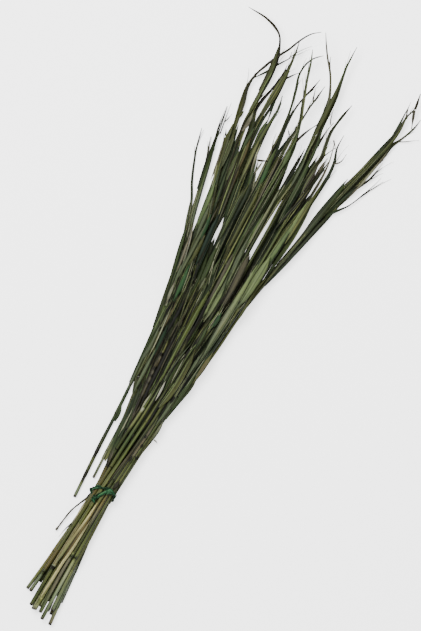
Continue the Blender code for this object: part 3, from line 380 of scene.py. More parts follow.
# Blades that show between the leaves and along the bunch's edges: tones, share of the pile's height that
# they lie at, then (x, y, width) along each
UNDER = (
    (("black_green", "olive_dark"), 0.5, ((4, -10, 3), (6, 30, 4), (8.5, 70, 4.5), (12.5, 112, 3))),
    (("olive_dark", "leaf"), 0.7, ((-36, 255, 2), (-41.5, 290, 4), (-46.5, 320, 4), (-50.5, 346, 2))),
    (("leaf_dark", "olive"), 0.6, ((-33, 215, 3), (-35.5, 245, 5.5), (-40, 280, 4), (-44, 310, 2))),
    (("leaf_dark",), 0.5, ((-35, 300, 3), (-37, 335, 4), (-38.5, 365, 3), (-39, 385, 1))),
    (("leaf_dark", "olive_dark"), 0.7, ((-12, 280, 4), (-11.5, 315, 6), (-11.5, 340, 5), (-12, 349, 2))),
    (("leaf_dark", "leaf"), 0.8, ((-9, 366, 2), (-12, 383, 4), (-15, 405, 4), (-17, 430, 2))),
    (("black_green", "leaf_dark", "leaf"), 0.5, ((2, 300, 4), (2.2, 345, 5), (2.2, 390, 5), (2, 425, 4.5),
        (-1.5, 445, 2.6), (-4.5, 462, 1))),
    (("leaf_dark", "leaf", "leaf_dark"), 0.5, ((-7.5, 395, 2), (-8, 425, 5.5), (-9.5, 450, 5.5),
        (-10.5, 480, 3.6), (-10, 510, 2.6), (-8.5, 538, 1))),
    (("black_green", "scar", "brown_dark"), 0.5, ((17.5, 350, 4), (18.8, 400, 4), (20, 445, 4),
        (20.6, 485, 2.4), (22, 508, 1.6))),
    (("leaf_dark", "olive"), 0.5, ((28.5, 375, 3), (31, 405, 5), (32.5, 430, 5.5), (33, 446, 2.4),
        (32, 470, 1))),
    (("brown_dark", "leaf_dark"), 0.6, ((43, 285, 4), (45.5, 320, 6), (48, 355, 5), (50, 388, 2))),
    (("leaf_dark",), 0.6, ((47, 375, 2), (48.8, 405, 3), (49.5, 432, 2))),
    (("leaf_dark", "olive_dark"), 0.6, ((52, 335, 3), (55, 375, 3.6), (58, 415, 4), (60.5, 448, 2))),
    (("leaf_dark", "leaf_dark", "grey_brown", "pink_grey"), 0.6,
        ((60, 370, 2), (63.5, 400, 4), (67, 432, 5), (69.5, 460, 5), (70.5, 485, 4), (72.5, 500, 1))),
    (("leaf_dark", "grey_brown", "pink_grey", "pink_grey"), 0.6,
        ((72, 430, 3), (75, 455, 4), (77, 478, 3), (76.5, 498, 1.8), (74, 513, 1.2), (71.5, 524, 0.8))),
    (("leaf_dark", "moss", "olive"), 0.7, ((66, 325, 2), (70.5, 355, 5), (75.5, 385, 5.5), (78, 415, 5),
        (79, 445, 3), (80.5, 475, 2))),
    (("leaf_light", "leaf"), 0.6, ((-38.5, 352, 2), (-41, 378, 4), (-42.6, 402, 4.5), (-45.6, 425, 3.4),
        (-48.5, 445, 2))),
    (("leaf", "leaf_dark"), 0.7, ((-36, 410, 2), (-39, 440, 4), (-42.5, 465, 4), (-46, 490, 2))),
    (("olive", "leaf_dark", "brown_dark"), 0.7, ((-18.5, 425, 3), (-20, 455, 4), (-22, 482, 5),
        (-21.5, 505, 4), (-18.5, 530, 3.5), (-17, 560, 2.5), (-17, 578, 1))),
    (("leaf_dark", "olive_dark"), 0.7, ((56, 455, 4), (58, 475, 5), (59.5, 488, 3), (61, 499, 1))),
    (("leaf_dark", "olive_dark", "leaf_dark"), 0.6, ((70, 325, 2), (78, 360, 4), (85, 393, 4), (92, 430, 5),
        (100, 462, 4), (107, 488, 2))),
    (("leaf_dark", "olive_dark"), 0.7, ((71, 322, 1.5), (82, 356, 3.4), (92, 392, 4.5), (99, 418, 4),
        (106, 437, 2))),
    (("leaf_dark", "brown_dark"), 0.6, ((-58, 395, 2), (-61.5, 425, 4.5), (-64, 450, 3), (-66.5, 475, 1.6),
        (-68.5, 503, 0.8))),
    (("olive", "leaf"), 0.7, ((45.6, 540, 4), (46.4, 565, 4.6), (46.4, 590, 3), (45.6, 612, 1.2))),
    (("grey_green", "sage", "olive"), 0.8, ((30, 118, 3), (36, 145, 5), (41, 165, 5.4), (43.6, 182, 3))),
    (("brown_dark", "olive"), 0.6, ((43, 176, 2), (46.2, 195, 4), (48.4, 214, 3))),
    (("leaf_dark", "olive"), 0.6, ((46, 195, 3), (50.5, 225, 5), (55, 255, 4.5), (59.5, 285, 4),
        (64, 312, 4), (70, 335, 3), (77, 352, 1))),
    (("olive", "grey_green", "olive", "olive_light"), 0.75, ((12.5, -8, 2), (14.4, 12, 3), (16.8, 32, 3.4),
        (19, 52, 4), (22, 75, 4), (26, 100, 3))),
    (("grey_green", "sage", "grey_green"), 0.7, ((22, 68, 2), (25.5, 88, 5), (27.5, 100, 5.5),
        (28.5, 118, 3))),
    (("straw_green", "leaf", "leaf", "leaf_dark", "leaf_dark"), 0.6,
        ((-15.6, 38, 2.6), (-16, 52, 4), (-16.4, 75, 3.6), (-16.2, 100, 3.4), (-16.6, 130, 3))),
    (("black_green", "grey_brown", "leaf", "leaf_dark", "leaf_dark"), 0.9,
        ((-10.5, 33, 2.4), (-11.5, 42, 4), (-12, 62, 4.5), (-11.5, 90, 3))),
    (("leaf_dark", "leaf"), 0.6, ((-26.5, 88, 3), (-26, 97, 5.5), (-27.5, 112, 3))),
    (("leaf_dark", "leaf"), 0.5, ((-30.5, 140, 2), (-31, 170, 3), (-31.5, 205, 4), (-33.5, 235, 3))),
    (("leaf_dark",), 0.5, ((12, 295, 3), (12.5, 325, 4), (12.5, 355, 3.5), (13, 385, 3.4), (13.3, 406, 2))),
    (("leaf_dark", "olive"), 0.6, ((28, 382, 2), (29, 408, 4), (29.8, 436, 4), (30.6, 455, 2))),
    (("brown_dark",), 0.6, ((59.6, 420, 2), (61.2, 440, 4.8), (63.4, 460, 2))),
    (("leaf_dark",), 0.6, ((-12.1, 381, 1.6), (-12.3, 393, 3.6), (-13, 410, 2))),
    (("leaf_dark", "olive"), 0.6, ((-34.4, 412, 2), (-36, 431, 4.8), (-38, 450, 2))),
    (("leaf_dark", "olive"), 0.6, ((-31, 290, 3), (-32.5, 320, 4), (-33, 350, 4), (-32, 378, 2))),
    (("black_green", "leaf_dark"), 0.4, ((-23, 350, 3), (-24, 378, 4), (-24, 400, 2))),
    (("leaf_dark",), 0.6, ((49, 350, 3), (51.5, 385, 4), (53, 412, 2))),
    (("leaf_dark", "olive"), 0.6, ((59, 365, 2), (60, 395, 4), (62, 425, 2))),
    (("leaf_dark", "olive"), 0.6, ((68, 350, 3), (70.5, 378, 4), (73, 400, 2))),
    (("leaf_dark", "olive", "leaf_dark"), 0.7, ((-28.5, 468, 3), (-29.2, 486, 4.6), (-31.2, 499, 4.4),
        (-33, 511, 1))),
    (("pink_grey", "grey_straw", "pale"), 1.0, ((-38.4, 484, 1.4), (-36.4, 492, 5), (-35.8, 501, 5),
        (-36, 511, 1))),
    (("black_green",), 0.85, ((0, 92, 1.6), (0.4, 106, 2.4), (1.2, 122, 1.6))),
    (("pink_grey", "pale"), 0.9, ((-2.4, 440, 1.4), (-0.8, 448, 2.6), (0.4, 456, 2.6), (1.4, 463, 1.2))),
    (("leaf_dark", "olive"), 0.6, ((-29, 395, 3), (-30, 420, 4), (-30, 445, 2))),
    (("leaf_dark", "olive"), 0.5, ((31, 430, 3), (32, 452, 3), (31.5, 475, 1.5))),
    (("olive", "leaf"), 0.6, ((44, 345, 3), (45.6, 385, 4.5), (47.6, 420, 4), (49.6, 445, 2))),
    (("leaf_dark", "olive"), 0.5, ((-27.5, 405, 2), (-28.5, 425, 4), (-29.5, 445, 2))),
    (("black_green",), 0.5, ((-20, 408, 2), (-20.5, 426, 3.5), (-21, 445, 2))),
    (("leaf_dark", "leaf"), 0.6, ((-34.5, 405, 2), (-37, 440, 4), (-40, 475, 3), (-41, 490, 1))),
    (("leaf_dark",), 0.6, ((-32, 438, 2), (-32.8, 455, 4), (-33.4, 470, 1.6))),
    (("leaf_dark",), 0.5, ((-4, 400, 2), (-5, 425, 3.5), (-6.5, 442, 2))),
    (("olive_dark",), 0.5, ((13.5, 400, 2), (14, 424, 3.5), (15, 445, 2))),
    (("leaf_dark",), 0.5, ((40, 440, 1.5), (41, 465, 3.5), (41.5, 485, 1.5))),
    (("leaf_dark",), 0.5, ((48.5, 390, 1.5), (49.5, 404, 3), (50, 420, 1.5))),
    (("olive", "leaf_dark"), 0.6, ((72, 370, 2), (73, 391, 4), (74.5, 415, 2))),
    (("leaf_dark",), 0.6, ((58.5, 432, 2), (60.5, 447, 3.5), (62, 462, 2))),
    (("grey_brown",), 0.6, ((66.5, 445, 2), (68, 465, 3.5), (69, 480, 1.5))),
    (("leaf_dark",), 0.6, ((-9.8, 322, 2), (-10.2, 337, 3.2), (-10.8, 348, 1.2))),
    (("olive_dark",), 0.5, ((15, 380, 2), (16, 398, 3), (17, 415, 2))),
    (("leaf_dark",), 0.5, ((9.5, 285, 3), (10.2, 310, 4.8), (10.6, 338, 3))),
    (("leaf_dark", "olive"), 0.5, ((-33.5, 312, 2), (-34.5, 335, 4), (-35, 352, 2))),
    (("leaf_dark",), 0.5, ((28.5, 315, 2), (29.2, 336, 4), (29.5, 352, 2))),
    (("leaf_dark",), 0.5, ((38, 320, 2), (38.3, 338, 4), (37.5, 350, 1))),
    (("leaf_dark", "leaf"), 0.5, ((-24.6, 149, 1.6), (-24.3, 159, 3.4), (-24, 172, 3))),
    (("leaf_dark", "olive"), 0.6, ((-36.6, 336, 2), (-36.2, 350, 3), (-36.8, 364, 2))),
    (("leaf_dark", "olive"), 0.6, ((-30.8, 336, 2), (-31.2, 352, 3.6), (-32, 368, 2))),
    (("black_green", "leaf_dark"), 0.6, ((-22.8, 338, 2), (-24, 357, 3.8), (-25.2, 376, 2))),
    (("leaf_dark",), 0.6, ((6.6, 408, 2), (6.6, 424, 4), (6, 435, 1))),
    (("olive", "leaf_dark"), 0.7, ((-41.5, 540, 2), (-39.5, 568, 6), (-40.5, 590, 5), (-43, 606, 2))),
    (("leaf", "leaf_dark"), 0.6, ((133, 542, 3), (135.5, 565, 4), (136.2, 585, 2.4), (136.6, 602, 0.8))),
)

# Loose threads and fine tips past the leaves' ends: tone, half width, then (x, y, height over what is
# below)
THREADS = (
    ("brown_dark", 0.35, ((-62, 470, 0), (-63, 480, 1), (-64.5, 496, 2), (-66, 511, 3))),
    ("brown_dark", 0.35, ((-63, 486, 1), (-61, 492, 1.5), (-59, 499, 2))),
    ("olive", 1.1, ((-50, 500, 0), (-48.6, 504, 1), (-47.5, 508, 1.5))),
    ("brown_dark", 0.6, ((-19, 565, 2), (-14, 571, 3), (-9, 577, 3), (-5, 581, 3))),
    ("leaf_dark", 0.6, ((-17.5, 536, 0), (-17, 528, 0), (-15.5, 515, 0), (-14.5, 503, 0))),
    ("grey_brown", 0.4, ((26.5, 553, 1), (24.5, 560, 1.5), (22, 571, 2))),
    ("brown_dark", 0.75, ((28, 499, 2), (31, 509, 3), (36, 520, 4), (43, 532, 4))),
    ("brown_dark", 0.6, ((54, 500, 1), (55, 515, 2), (57, 530, 2), (60.5, 543, 2))),
    ("grey_brown", 0.35, ((58, 539, 2), (55.5, 545, 2), (54, 552, 2), (53, 559, 2))),
    ("brown_dark", 0.6, ((62, 480, 1), (65, 494, 2), (69, 503, 2), (76, 516, 2))),
    ("grey_brown", 0.45, ((82, 497, 1), (86, 499, 1), (89.5, 503, 2), (92, 515, 2))),
    ("grey_brown", 0.4, ((70, 524, 2), (73, 520, 2), (77, 515, 1))),
    ("brown_dark", 0.65, ((-5, 459.5, 7), (0, 461, 12), (5, 463, 13), (9, 464, 9))),
    ("grey_brown", 0.85, ((145, 601, 3), (147, 594, 3), (149.5, 586, 2), (152, 578, 1))),
    ("brown_dark", 0.7, ((145.6, 602, 3), (144.6, 612, 3), (143.2, 623, 3))),
    ("grey_brown", 0.4, ((139, 590, 3), (137, 599, 4), (136.5, 608, 4))),
    ("grey_brown", 0.3, ((144, 557, 2), (152, 561, 3), (160, 566, 4), (167, 570, 4))),
    ("grey_brown", 0.35, ((-20, -50, 0), (-23, -58, 0), (-25.5, -66, 0), (-27, -73, 0))),
    ("bone", 0.5, ((28.5, 88, 0), (31, 87.5, 0), (34, 86, 0))),
    ("grey_brown", 0.4, ((7, 472, 2), (4, 483, 3), (2, 492, 3), (1.5, 500, 3))),
    ("grey_brown", 0.4, ((17, 505, 2), (14, 509, 2), (11.5, 512, 2))),
    ("brown_dark", 0.5, ((-55, 470, 0), (-56, 474, 0), (-57.5, 478, 0))),
    ("brown_dark", 0.5, ((-55, 555, 1), (-50, 564, 1), (-45, 573, 1), (-42, 581, 1))),
    ("brown_dark", 0.5, ((-4.5, 578, 1), (-3.5, 590, 1), (0.5, 601, 1), (6, 608, 2), (13, 613, 3))),
    ("brown_dark", 0.45, ((2, 601, 1), (0, 606, 1), (-2.5, 614, 1))),
    ("brown_dark", 0.6, ((-19.5, 590, 1), (-20, 603, 1), (-22, 618, 1))),
    ("brown_dark", 0.5, ((-22, 568, 2), (-22.5, 575, 2), (-23, 583, 2))),
    ("leaf_dark", 0.8, ((-9, 524, 1), (-10, 535, 1), (-12, 546, 1))),
    ("brown_dark", 0.5, ((14, 557, 1), (18, 567, 1), (22, 584, 1))),
    ("brown_dark", 0.6, ((27, 556, 1), (29, 567, 1), (31, 579, 1))),
    ("brown_dark", 0.5, ((45, 612, 1), (45.5, 625, 1), (46, 641, 1))),
    ("brown_dark", 0.35, ((-64, 455, 1), (-67.5, 475, 1), (-69, 490, 1), (-69, 505, 1))),
    ("leaf_dark", 0.7, ((-37.6, 487, 0), (-38.4, 478, 0), (-37.6, 468, 0), (-36.6, 458, 0))),
    ("grey_brown", 0.45, ((-37, 527, 1), (-35, 534, 1), (-32.5, 541, 1))),
)

# Plies of the twine that lie loose over its crossing, the light ones with a painted highlight and the dark
# ones partly painted shade: tone, then (x, y, z, half width)
TWINE_PLIES = (
    ("twine", ((-1, 1, 32.6, 0.8), (2, 5.2, 33.4, 1.5), (5.5, 8.2, 33.6, 1.9), (9, 7.6, 32.0, 1.5),
        (12, 4.5, 28.2, 0.9))),
    ("twine_wear_and_highlight", ((3.2, 3.4, 33.4, 0.8), (4.6, 6.5, 34.2, 1.4), (5.6, 9.0, 34.3, 1.3),
        (6.2, 10.6, 33.4, 0.7))),
    ("twine_wear_and_highlight", ((6.2, 3.0, 32.2, 0.7), (7.2, 5.8, 33.2, 1.2), (7.8, 8.4, 33.2, 1.1),
        (8.0, 10.4, 32.4, 0.6))),
    ("twine_dark_and_shade", ((9.5, 8.5, 31.0, 0.9), (12.6, 5.5, 27.2, 1.3), (14.0, 1.6, 22.5, 1.3),
        (14.3, -1.6, 19.0, 0.6))),
    ("twine", ((-9.8, -8.6, 30.2, 0.9), (-8.4, -10.6, 30.4, 1.6), (-6.4, -12.6, 31.2, 1.5),
        (-5.0, -14.2, 31.4, 0.8))),
    ("twine_dark_and_shade", ((-11.2, -9.4, 28.6, 0.8), (-8.2, -8.4, 31.6, 1.5), (-5.4, -6.0, 33.6, 1.3),
        (-3.2, -2.6, 33.8, 0.9))),
    ("twine", ((-8.8, -10.8, 29.6, 1.0), (-5.6, -6.8, 32.8, 1.6), (-2.4, -2.8, 33.6, 1.6),
        (0.6, 1.4, 33.8, 1.7), (3.6, 5.2, 34.0, 1.2))),
    ("twine_wear_and_highlight", ((-4.4, -3.6, 34.4, 0.6), (-2.4, -0.6, 35.0, 0.9), (-0.2, 2.4, 35.0, 1.0),
        (2.2, 5.4, 34.8, 0.6))),
    ("twine", ((-13.4, 3.2, 24.4, 0.9), (-9.5, 4.6, 27.4, 1.2), (-5.5, 5.8, 29.8, 1.3),
        (-1.5, 7.0, 31.8, 1.1))),
    ("twine_wear_and_highlight", ((-14.6, -1.4, 19.5, 0.9), (-13.2, 1.4, 24.6, 1.4), (-10.4, 3.6, 28.2, 1.3),
        (-7.0, 5.2, 30.0, 0.8))),
    ("twine", ((-0.5, 1.6, 32.4, 1.0), (2.5, 4.0, 33.4, 1.8), (6.0, 5.4, 33.6, 2.0),
        (9.2, 4.6, 31.6, 1.1))),
    ("twine_wear_and_highlight", ((4.2, 1.4, 32.8, 0.7), (5.4, 4.4, 34.0, 1.2), (6.6, 7.4, 34.4, 1.1),
        (7.4, 10.0, 33.6, 0.7))),
    ("twine", ((-10.4, -10.4, 29.0, 0.9), (-8.6, -12.2, 29.8, 1.7), (-6.6, -13.4, 30.8, 1.1))),
    ("twine_dark_and_shade", ((-7.4, -5.4, 31.6, 0.9), (-4.6, -1.6, 33.4, 1.4), (-1.8, 1.4, 34.0, 1.2),
        (0.5, 4.0, 33.8, 0.8))),
)

# Torn sheaths near the cut ends: cane, place along Y of their lower and upper end, and tone
SLEEVES = (
    (7, -155, -104, "sage"),
    (10, -104, -40, "olive_light"),
    (4, -152, -118, "straw_green"),
    (3, -108, -45, "straw"),
    (13, -134, -96, "olive_dark"),
    (5, -84, -40, "olive"),
    (20, 138, 190, "grey_green"),
    (21, 38, 70, "grey_green_light"),
    (19, 34, 80, "leaf"),
    (1, 117, 160, "moss"),
    (16, -60, -20, "grey_green"),
    (2, -90, -50, "olive"),
)


def colour(name, description, rgb):
    return FloatVectorProperty(name=name, description=description, default=rgb, subtype="COLOR_GAMMA",
                               size=3, min=0, max=1)


def measure(name, description, default, low=0, **more):
    """A property for a length, a share or a strength, with its lower limit."""
    return FloatProperty(name=name, description=description, default=default, min=low, **more)


def whole(name, description, default, low=0):
    """A property for a whole number, with its lower limit."""
    return IntProperty(name=name, description=description, default=default, min=low)


class ReedTones(bpy.types.PropertyGroup):
    """Colours that the canes and leaves are tinted with, as they look under the studio light."""

    depth: measure("Depth", "Share of a tone that the surface itself gives back", 0.27, 0.05)
    straw: colour("Straw", "Dry sheath", (0.69, 0.66, 0.44))
    cream: colour("Cream", "Bleached sheath", (1.0, 0.97, 0.68))
    straw_green: colour("Green straw", "Sheath that is nearly dry", (0.64, 0.66, 0.41))
    tan: colour("Tan", "Weathered sheath", (0.52, 0.49, 0.34))
    grey_straw: colour("Grey straw", "Weathered cane", (0.52, 0.50, 0.40))
    pale: colour("Pale green", "Sliver of bleached sheath", (0.78, 0.80, 0.65))
    bone: colour("Bone", "Bleached membrane", (0.90, 0.90, 0.82))
    dry_green: colour("Dry green", "Leaf that has bleached", (0.74, 0.77, 0.50))
    sedge: colour("Sedge", "Leaf with a dull skin", (0.58, 0.66, 0.42))
    pink_grey: colour("Pink grey", "Dead sheath", (0.60, 0.58, 0.48))
    olive_light: colour("Light olive", "Ripe cane", (0.49, 0.52, 0.31))
    olive: colour("Olive", "Cane", (0.38, 0.41, 0.22))
    olive_dark: colour("Dark olive", "Cane in its darker stretches", (0.26, 0.30, 0.16))
    olive_brown: colour("Brown olive", "Cane that turns brown", (0.40, 0.37, 0.20))
    moss: colour("Moss", "Fresh cane", (0.40, 0.46, 0.25))
    moss_bright: colour("Bright moss", "Freshest cane", (0.43, 0.50, 0.24))
    leaf: colour("Leaf", "Leaf", (0.31, 0.39, 0.21))
    leaf_light: colour("Light leaf", "Leaf with a dry skin", (0.45, 0.54, 0.33))
    leaf_dark: colour("Dark leaf", "Leaf in its darker stretches", (0.20, 0.27, 0.15))
    sage: colour("Sage", "Grey-green sheath", (0.46, 0.52, 0.38))
    grey_green: colour("Grey green", "Dull sheath", (0.42, 0.47, 0.34))
    grey_green_light: colour("Light grey green", "Dull sheath at its lightest", (0.55, 0.58, 0.44))
    grey_brown: colour("Grey brown", "Dead sheath on a cane", (0.41, 0.40, 0.31))
    brown: colour("Brown", "Withered patch", (0.35, 0.31, 0.18))
    brown_dark: colour("Dark brown", "Withered tip", (0.22, 0.205, 0.12))
    emerald: colour("Emerald", "Patch that the green dye reached", (0.21, 0.38, 0.20))
    emerald_dark: colour("Dark emerald", "Dyed patch in its darker stretches", (0.17, 0.30, 0.17))
    teal: colour("Teal", "Dyed leaf, nearly black", (0.13, 0.22, 0.15))
    black_green: colour("Black green", "Joint scars and mould", (0.13, 0.135, 0.075))
    # Near-black painted shade, laid as strips and fine lines over the gaps and creases between leaves where
    # shade falls
    near_black: colour("Near black", "Creases between leaves", (0.105, 0.105, 0.06))
    scar: colour("Joint scar", "Scar where a sheath was", (0.16, 0.15, 0.09))
    # Dark twine is the dye's darker tone and partly painted shade, on the plies down the right of the tie
    twine_dark_and_shade: colour("Dark twine", "Dyed twine in its folds", (0.15, 0.29, 0.19))
    # The cut tone is painted shade: near black for the inside of a hollow cut end
    cut: colour("Cut", "Hollow of a cut end", (0.07, 0.06, 0.04))
    twine: colour("Twine", "Dyed twine", (0.27, 0.52, 0.34))
    # Light twine is partly wear and partly a painted highlight, on the plies over the crossing
    twine_wear_and_highlight: colour("Light twine", "Dyed twine where it is worn", (0.38, 0.62, 0.42))


class ReedSizes(bpy.types.PropertyGroup):
    """Sizes of what the finish adds."""

    step: measure("Step", "Spacing of the points along a line", 0.0035, 0.001, unit="LENGTH")
    cane_sides: whole("Cane sides", "Faces round a cane", 14, 6)
    blade_sides: whole("Blade sides", "Points round a leaf's section", 14, 6)
    fold: measure("Fold", "Depth of a leaf's fold over its half width", 0.5)
    thickness: measure("Thickness", "Half a leaf's thickness over its half width", 0.07)
    ripple: measure("Ripple", "How far a leaf's edges wave", 0.0008, unit="LENGTH")
    sheath: measure("Sheath", "Thickness of a cane's sheath", 0.00025, unit="LENGTH")
    hollow: measure("Hollow", "Depth of the hollow in a cut end", 0.006, unit="LENGTH")
    filling: whole("Filling", "Number of narrow blades between the canes", 150)
    slivers: whole("Slivers", "Number of fine fibres on top of the bunch", 240)


class ReedStage(bpy.types.PropertyGroup):
    """The floor, lights and view."""

    lens: measure("Lens", "Focal length in millimetres", 300, 20)
    floor_tone: measure("Floor", "How pale the floor is", 0.9, max=1)
    glow: measure("Floor glow", "Light that the floor gives off, as a light table", 1.6)
    world: measure("Surroundings", "Strength of the light from all round", 0.9)
    key: measure("Key light", "Power of the main light in watts", 140)
    fill: measure("Fill light", "Power of the second light in watts", 15)


class Value:
    """A number in a node tree. Sums and products of values add the Math nodes."""

    def __init__(self, nodes, socket):
        self.nodes = nodes
        self.socket = socket

    def maths(self, operation, *others):
        return self.nodes.maths(operation, self, *others)

    def __add__(self, other):
        return self.maths("ADD", other)

    def __sub__(self, other):
        return self.maths("SUBTRACT", other)

    def __mul__(self, other):
        return self.maths("MULTIPLY", other)

    def __truediv__(self, other):
        return self.maths("DIVIDE", other)

    def __pow__(self, other):
        return self.maths("POWER", other)

    def __radd__(self, other):
        return self.nodes.maths("ADD", other, self)

    def __rsub__(self, other):
        return self.nodes.maths("SUBTRACT", other, self)

    def __rmul__(self, other):
        return self.nodes.maths("MULTIPLY", other, self)

    def size(self):
        return self.maths("ABSOLUTE")

    def rise(self, low, high):
        """0 below low, 1 above high and smooth between them."""
        settings = {"interpolation_type": "SMOOTHSTEP"}
        return self.nodes.add("ShaderNodeMapRange", settings,
                              {"Value": self, "From Min": low, "From Max": high})


class Nodes:
    """Builds a node tree, one call for each node."""

    def __init__(self, tree):
        self.tree = tree

    def node(self, kind, settings=None, inputs=None):
        node = self.tree.nodes.new(kind)
        for key, value in (settings or {}).items():
            setattr(node, key, value)
        for key, value in (inputs or {}).items():
            if isinstance(value, Value):
                self.tree.links.new(value.socket, node.inputs[key])
            else:
                node.inputs[key].default_value = value
        return node

    def add(self, kind, settings=None, inputs=None, output=0):
        return Value(self, self.node(kind, settings, inputs).outputs[output])

    def maths(self, operation, *values):
        return self.add("ShaderNodeMath", {"operation": operation}, dict(enumerate(values)))

    def vector(self, operation, *values):
        return self.add("ShaderNodeVectorMath", {"operation": operation}, dict(enumerate(values)))

    def scaled(self, vector, factor):
        return self.add("ShaderNodeVectorMath", {"operation": "SCALE"}, {0: vector, "Scale": factor})

    def join(self, x, y, z):
        return self.add("ShaderNodeCombineXYZ", None, {0: x, 1: y, 2: z})

    def part(self, vector, axis):
        return self.add("ShaderNodeSeparateXYZ", None, {0: vector}, axis)

    def mix(self, factor, first, second, blend="MIX"):
        return self.add("ShaderNodeMix", {"data_type": "RGBA", "blend_type": blend},
                        {0: factor, 6: first, 7: second}, 2)

    def noise(self, place, scale, detail=2.0, roughness=0.5):
        return self.add("ShaderNodeTexNoise", None, {"Vector": place, "Scale": scale, "Detail": detail,
                                                     "Roughness": roughness})


class Strand:
    """A line with what the sweep and the finish need at each of its points, in millimetres."""

    def __init__(self, points, half, roll=0.0, tint=(0.1, 0.1, 0.1), patch=0.0, seed=0.0):
        self.points = np.asarray(points, dtype=float)
        count = len(self.points)
        self.half = np.broadcast_to(np.asarray(half, dtype=float), count).copy()
        self.roll = np.broadcast_to(np.asarray(roll, dtype=float), count).copy()
        self.tint = np.broadcast_to(np.asarray(tint, dtype=float), (count, 3)).copy()
        self.patch = np.broadcast_to(np.asarray(patch, dtype=float), count).copy()
        self.seed = seed
        steps = np.linalg.norm(np.diff(self.points, axis=0), axis=1)
        self.along = np.concatenate([[0.0], np.cumsum(steps)])


def linear(rgb):
    rgb = np.asarray(rgb, dtype=float)
    return np.where(rgb <= 0.04045, rgb / 12.92, ((rgb + 0.055) / 1.055) ** 2.4)


def tone(name):
    tones = bpy.context.scene.reed_tones
    return linear(getattr(tones, name)) * tones.depth


def tones_at(stops, places):
    """Colours at some places, between stops of a place and a tone's name."""
    at = [stop[0] for stop in stops]
    values = np.array([tone(stop[1]) for stop in stops])
    return np.column_stack([np.interp(places, at, values[:, k]) for k in range(3)])


def rings_of(name, sides, ends_high=False):
    """A CAD node's rings of corners in order along it, starting at the end with the lower or higher Y."""
    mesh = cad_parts[name].data
    raw = np.array([v.co for v in mesh.vertices]) / MM - TIE
    corners, index = np.unique(np.round(raw, 3), axis=0, return_inverse=True)
    index = index.ravel()
    near = [set() for _ in corners]
    for face in mesh.polygons:
        loop = [index[v] for v in face.vertices]
        for a, b in zip(loop, loop[1:] + loop[:1]):
            near[a].add(b)
            near[b].add(a)
    if name == "twine_tie":
        layer = end_ring(corners, near, sides)
    else:
        order = np.argsort(corners[:, 1])
        layer = [int(v) for v in (order[-sides:] if ends_high else order[:sides])]
    seen = set(layer)
    rings = [corners[layer]]
    while True:
        layer = sorted({n for v in layer for n in near[v]} - seen)
        if not layer:
            return rings
        seen.update(layer)
        rings.append(corners[layer])


def end_ring(corners, near, sides):
    """The corners of the cap at one end of a long closed tube."""
    last = 0
    for _ in range(2):
        seen, layer = {last}, [last]
        while layer:
            last = layer[0]
            layer = sorted({n for v in layer for n in near[v]} - seen)
            seen.update(layer)
    close = {last}
    for _ in range(3):
        close |= {n for v in close for n in near[v]}
    close = sorted(close, key=lambda v: float(np.linalg.norm(corners[v] - corners[last])))
    return close[:sides]


def eased(columns, step, extra=()):
    """Values along a line, resampled at even steps on a smooth curve. Columns 0 to 2 are its place."""
    columns = np.asarray(columns, dtype=float)
    gaps = np.linalg.norm(np.diff(columns[:, :3], axis=0), axis=1)
    at = np.concatenate([[0.0], np.cumsum(gaps)])
    slopes = np.diff(columns, axis=0) / gaps[:, None]
    bend = np.empty_like(columns)
    bend[0], bend[-1] = slopes[0], slopes[-1]
    weight = (gaps[:-1] / (gaps[:-1] + gaps[1:]))[:, None]
    bend[1:-1] = (1 - weight) * slopes[:-1] + weight * slopes[1:]
    places = np.linspace(0, at[-1], max(3, int(round(at[-1] / step)) + 1))
    places = np.unique(np.concatenate([places, [v for v in extra if 0 < v < at[-1]]]))
    k = np.clip(np.searchsorted(at, places, side="right") - 1, 0, len(gaps) - 1)
    span = gaps[k]
    t = ((places - at[k]) / span)[:, None]
    span = span[:, None]
    result = (
        (2 * t**3 - 3 * t**2 + 1) * columns[k]
        + (t**3 - 2 * t**2 + t) * span * bend[k]
        + (3 * t**2 - 2 * t**3) * columns[k + 1]
        + (t**3 - t**2) * span * bend[k + 1]
    )
    return places, result


def directions(points):
    along = np.gradient(points, axis=0)
    along /= np.linalg.norm(along, axis=1)[:, None]
    level = np.column_stack([along[:, 1], -along[:, 0], np.zeros(len(along))])
    level /= np.maximum(np.linalg.norm(level, axis=1), 1e-9)[:, None]
    return along, level


def read_cane(name):
    """A cane's centre line and radius without its joints, and how far along it each joint is."""
    rings = rings_of(name, CANE_SIDES_IN_CAD, ends_high=True)[:-2][::-1]
    middles = np.array([ring.mean(0) for ring in rings])
    radii = np.array([np.linalg.norm(ring - ring.mean(0), axis=1).mean() for ring in rings])
    gaps = np.linalg.norm(np.diff(middles, axis=0), axis=1)
    at = np.concatenate([[0.0], np.cumsum(gaps)])
    joints = [k for k in range(1, len(rings) - 1) if max(gaps[k - 1], gaps[k]) < JOINT_REACH]
    keep = [k for k in range(len(rings)) if all(abs(k - j) > 1 for j in joints)]
    plain = sorted(set(keep) | {j - 1 for j in joints})
    return np.column_stack([middles[plain], radii[plain]]), [at[j] for j in joints]


def read_leaf(name):
    """A leaf's centre line, half width and roll."""
    rings = rings_of(name, LEAF_SIDES_IN_CAD)
    middles = np.array([ring.mean(0) for ring in rings])
    along, level = directions(middles)
    rows = []
    for ring, middle, a, s in zip(rings, middles, along, level):
        flat = ring - middle
        _, _, axes = np.linalg.svd(flat, full_matrices=False)
        across = axes[0] if axes[0] @ s > 0 else -axes[0]
        reach = flat @ across
        half = float(np.abs(reach).max())
        up = np.cross(across, a)
        roll = math.atan2(float(np.cross(s, across) @ a), float(s @ across))
        rows.append((*(middle - up * half / 12), half, roll))
    return np.array(rows)


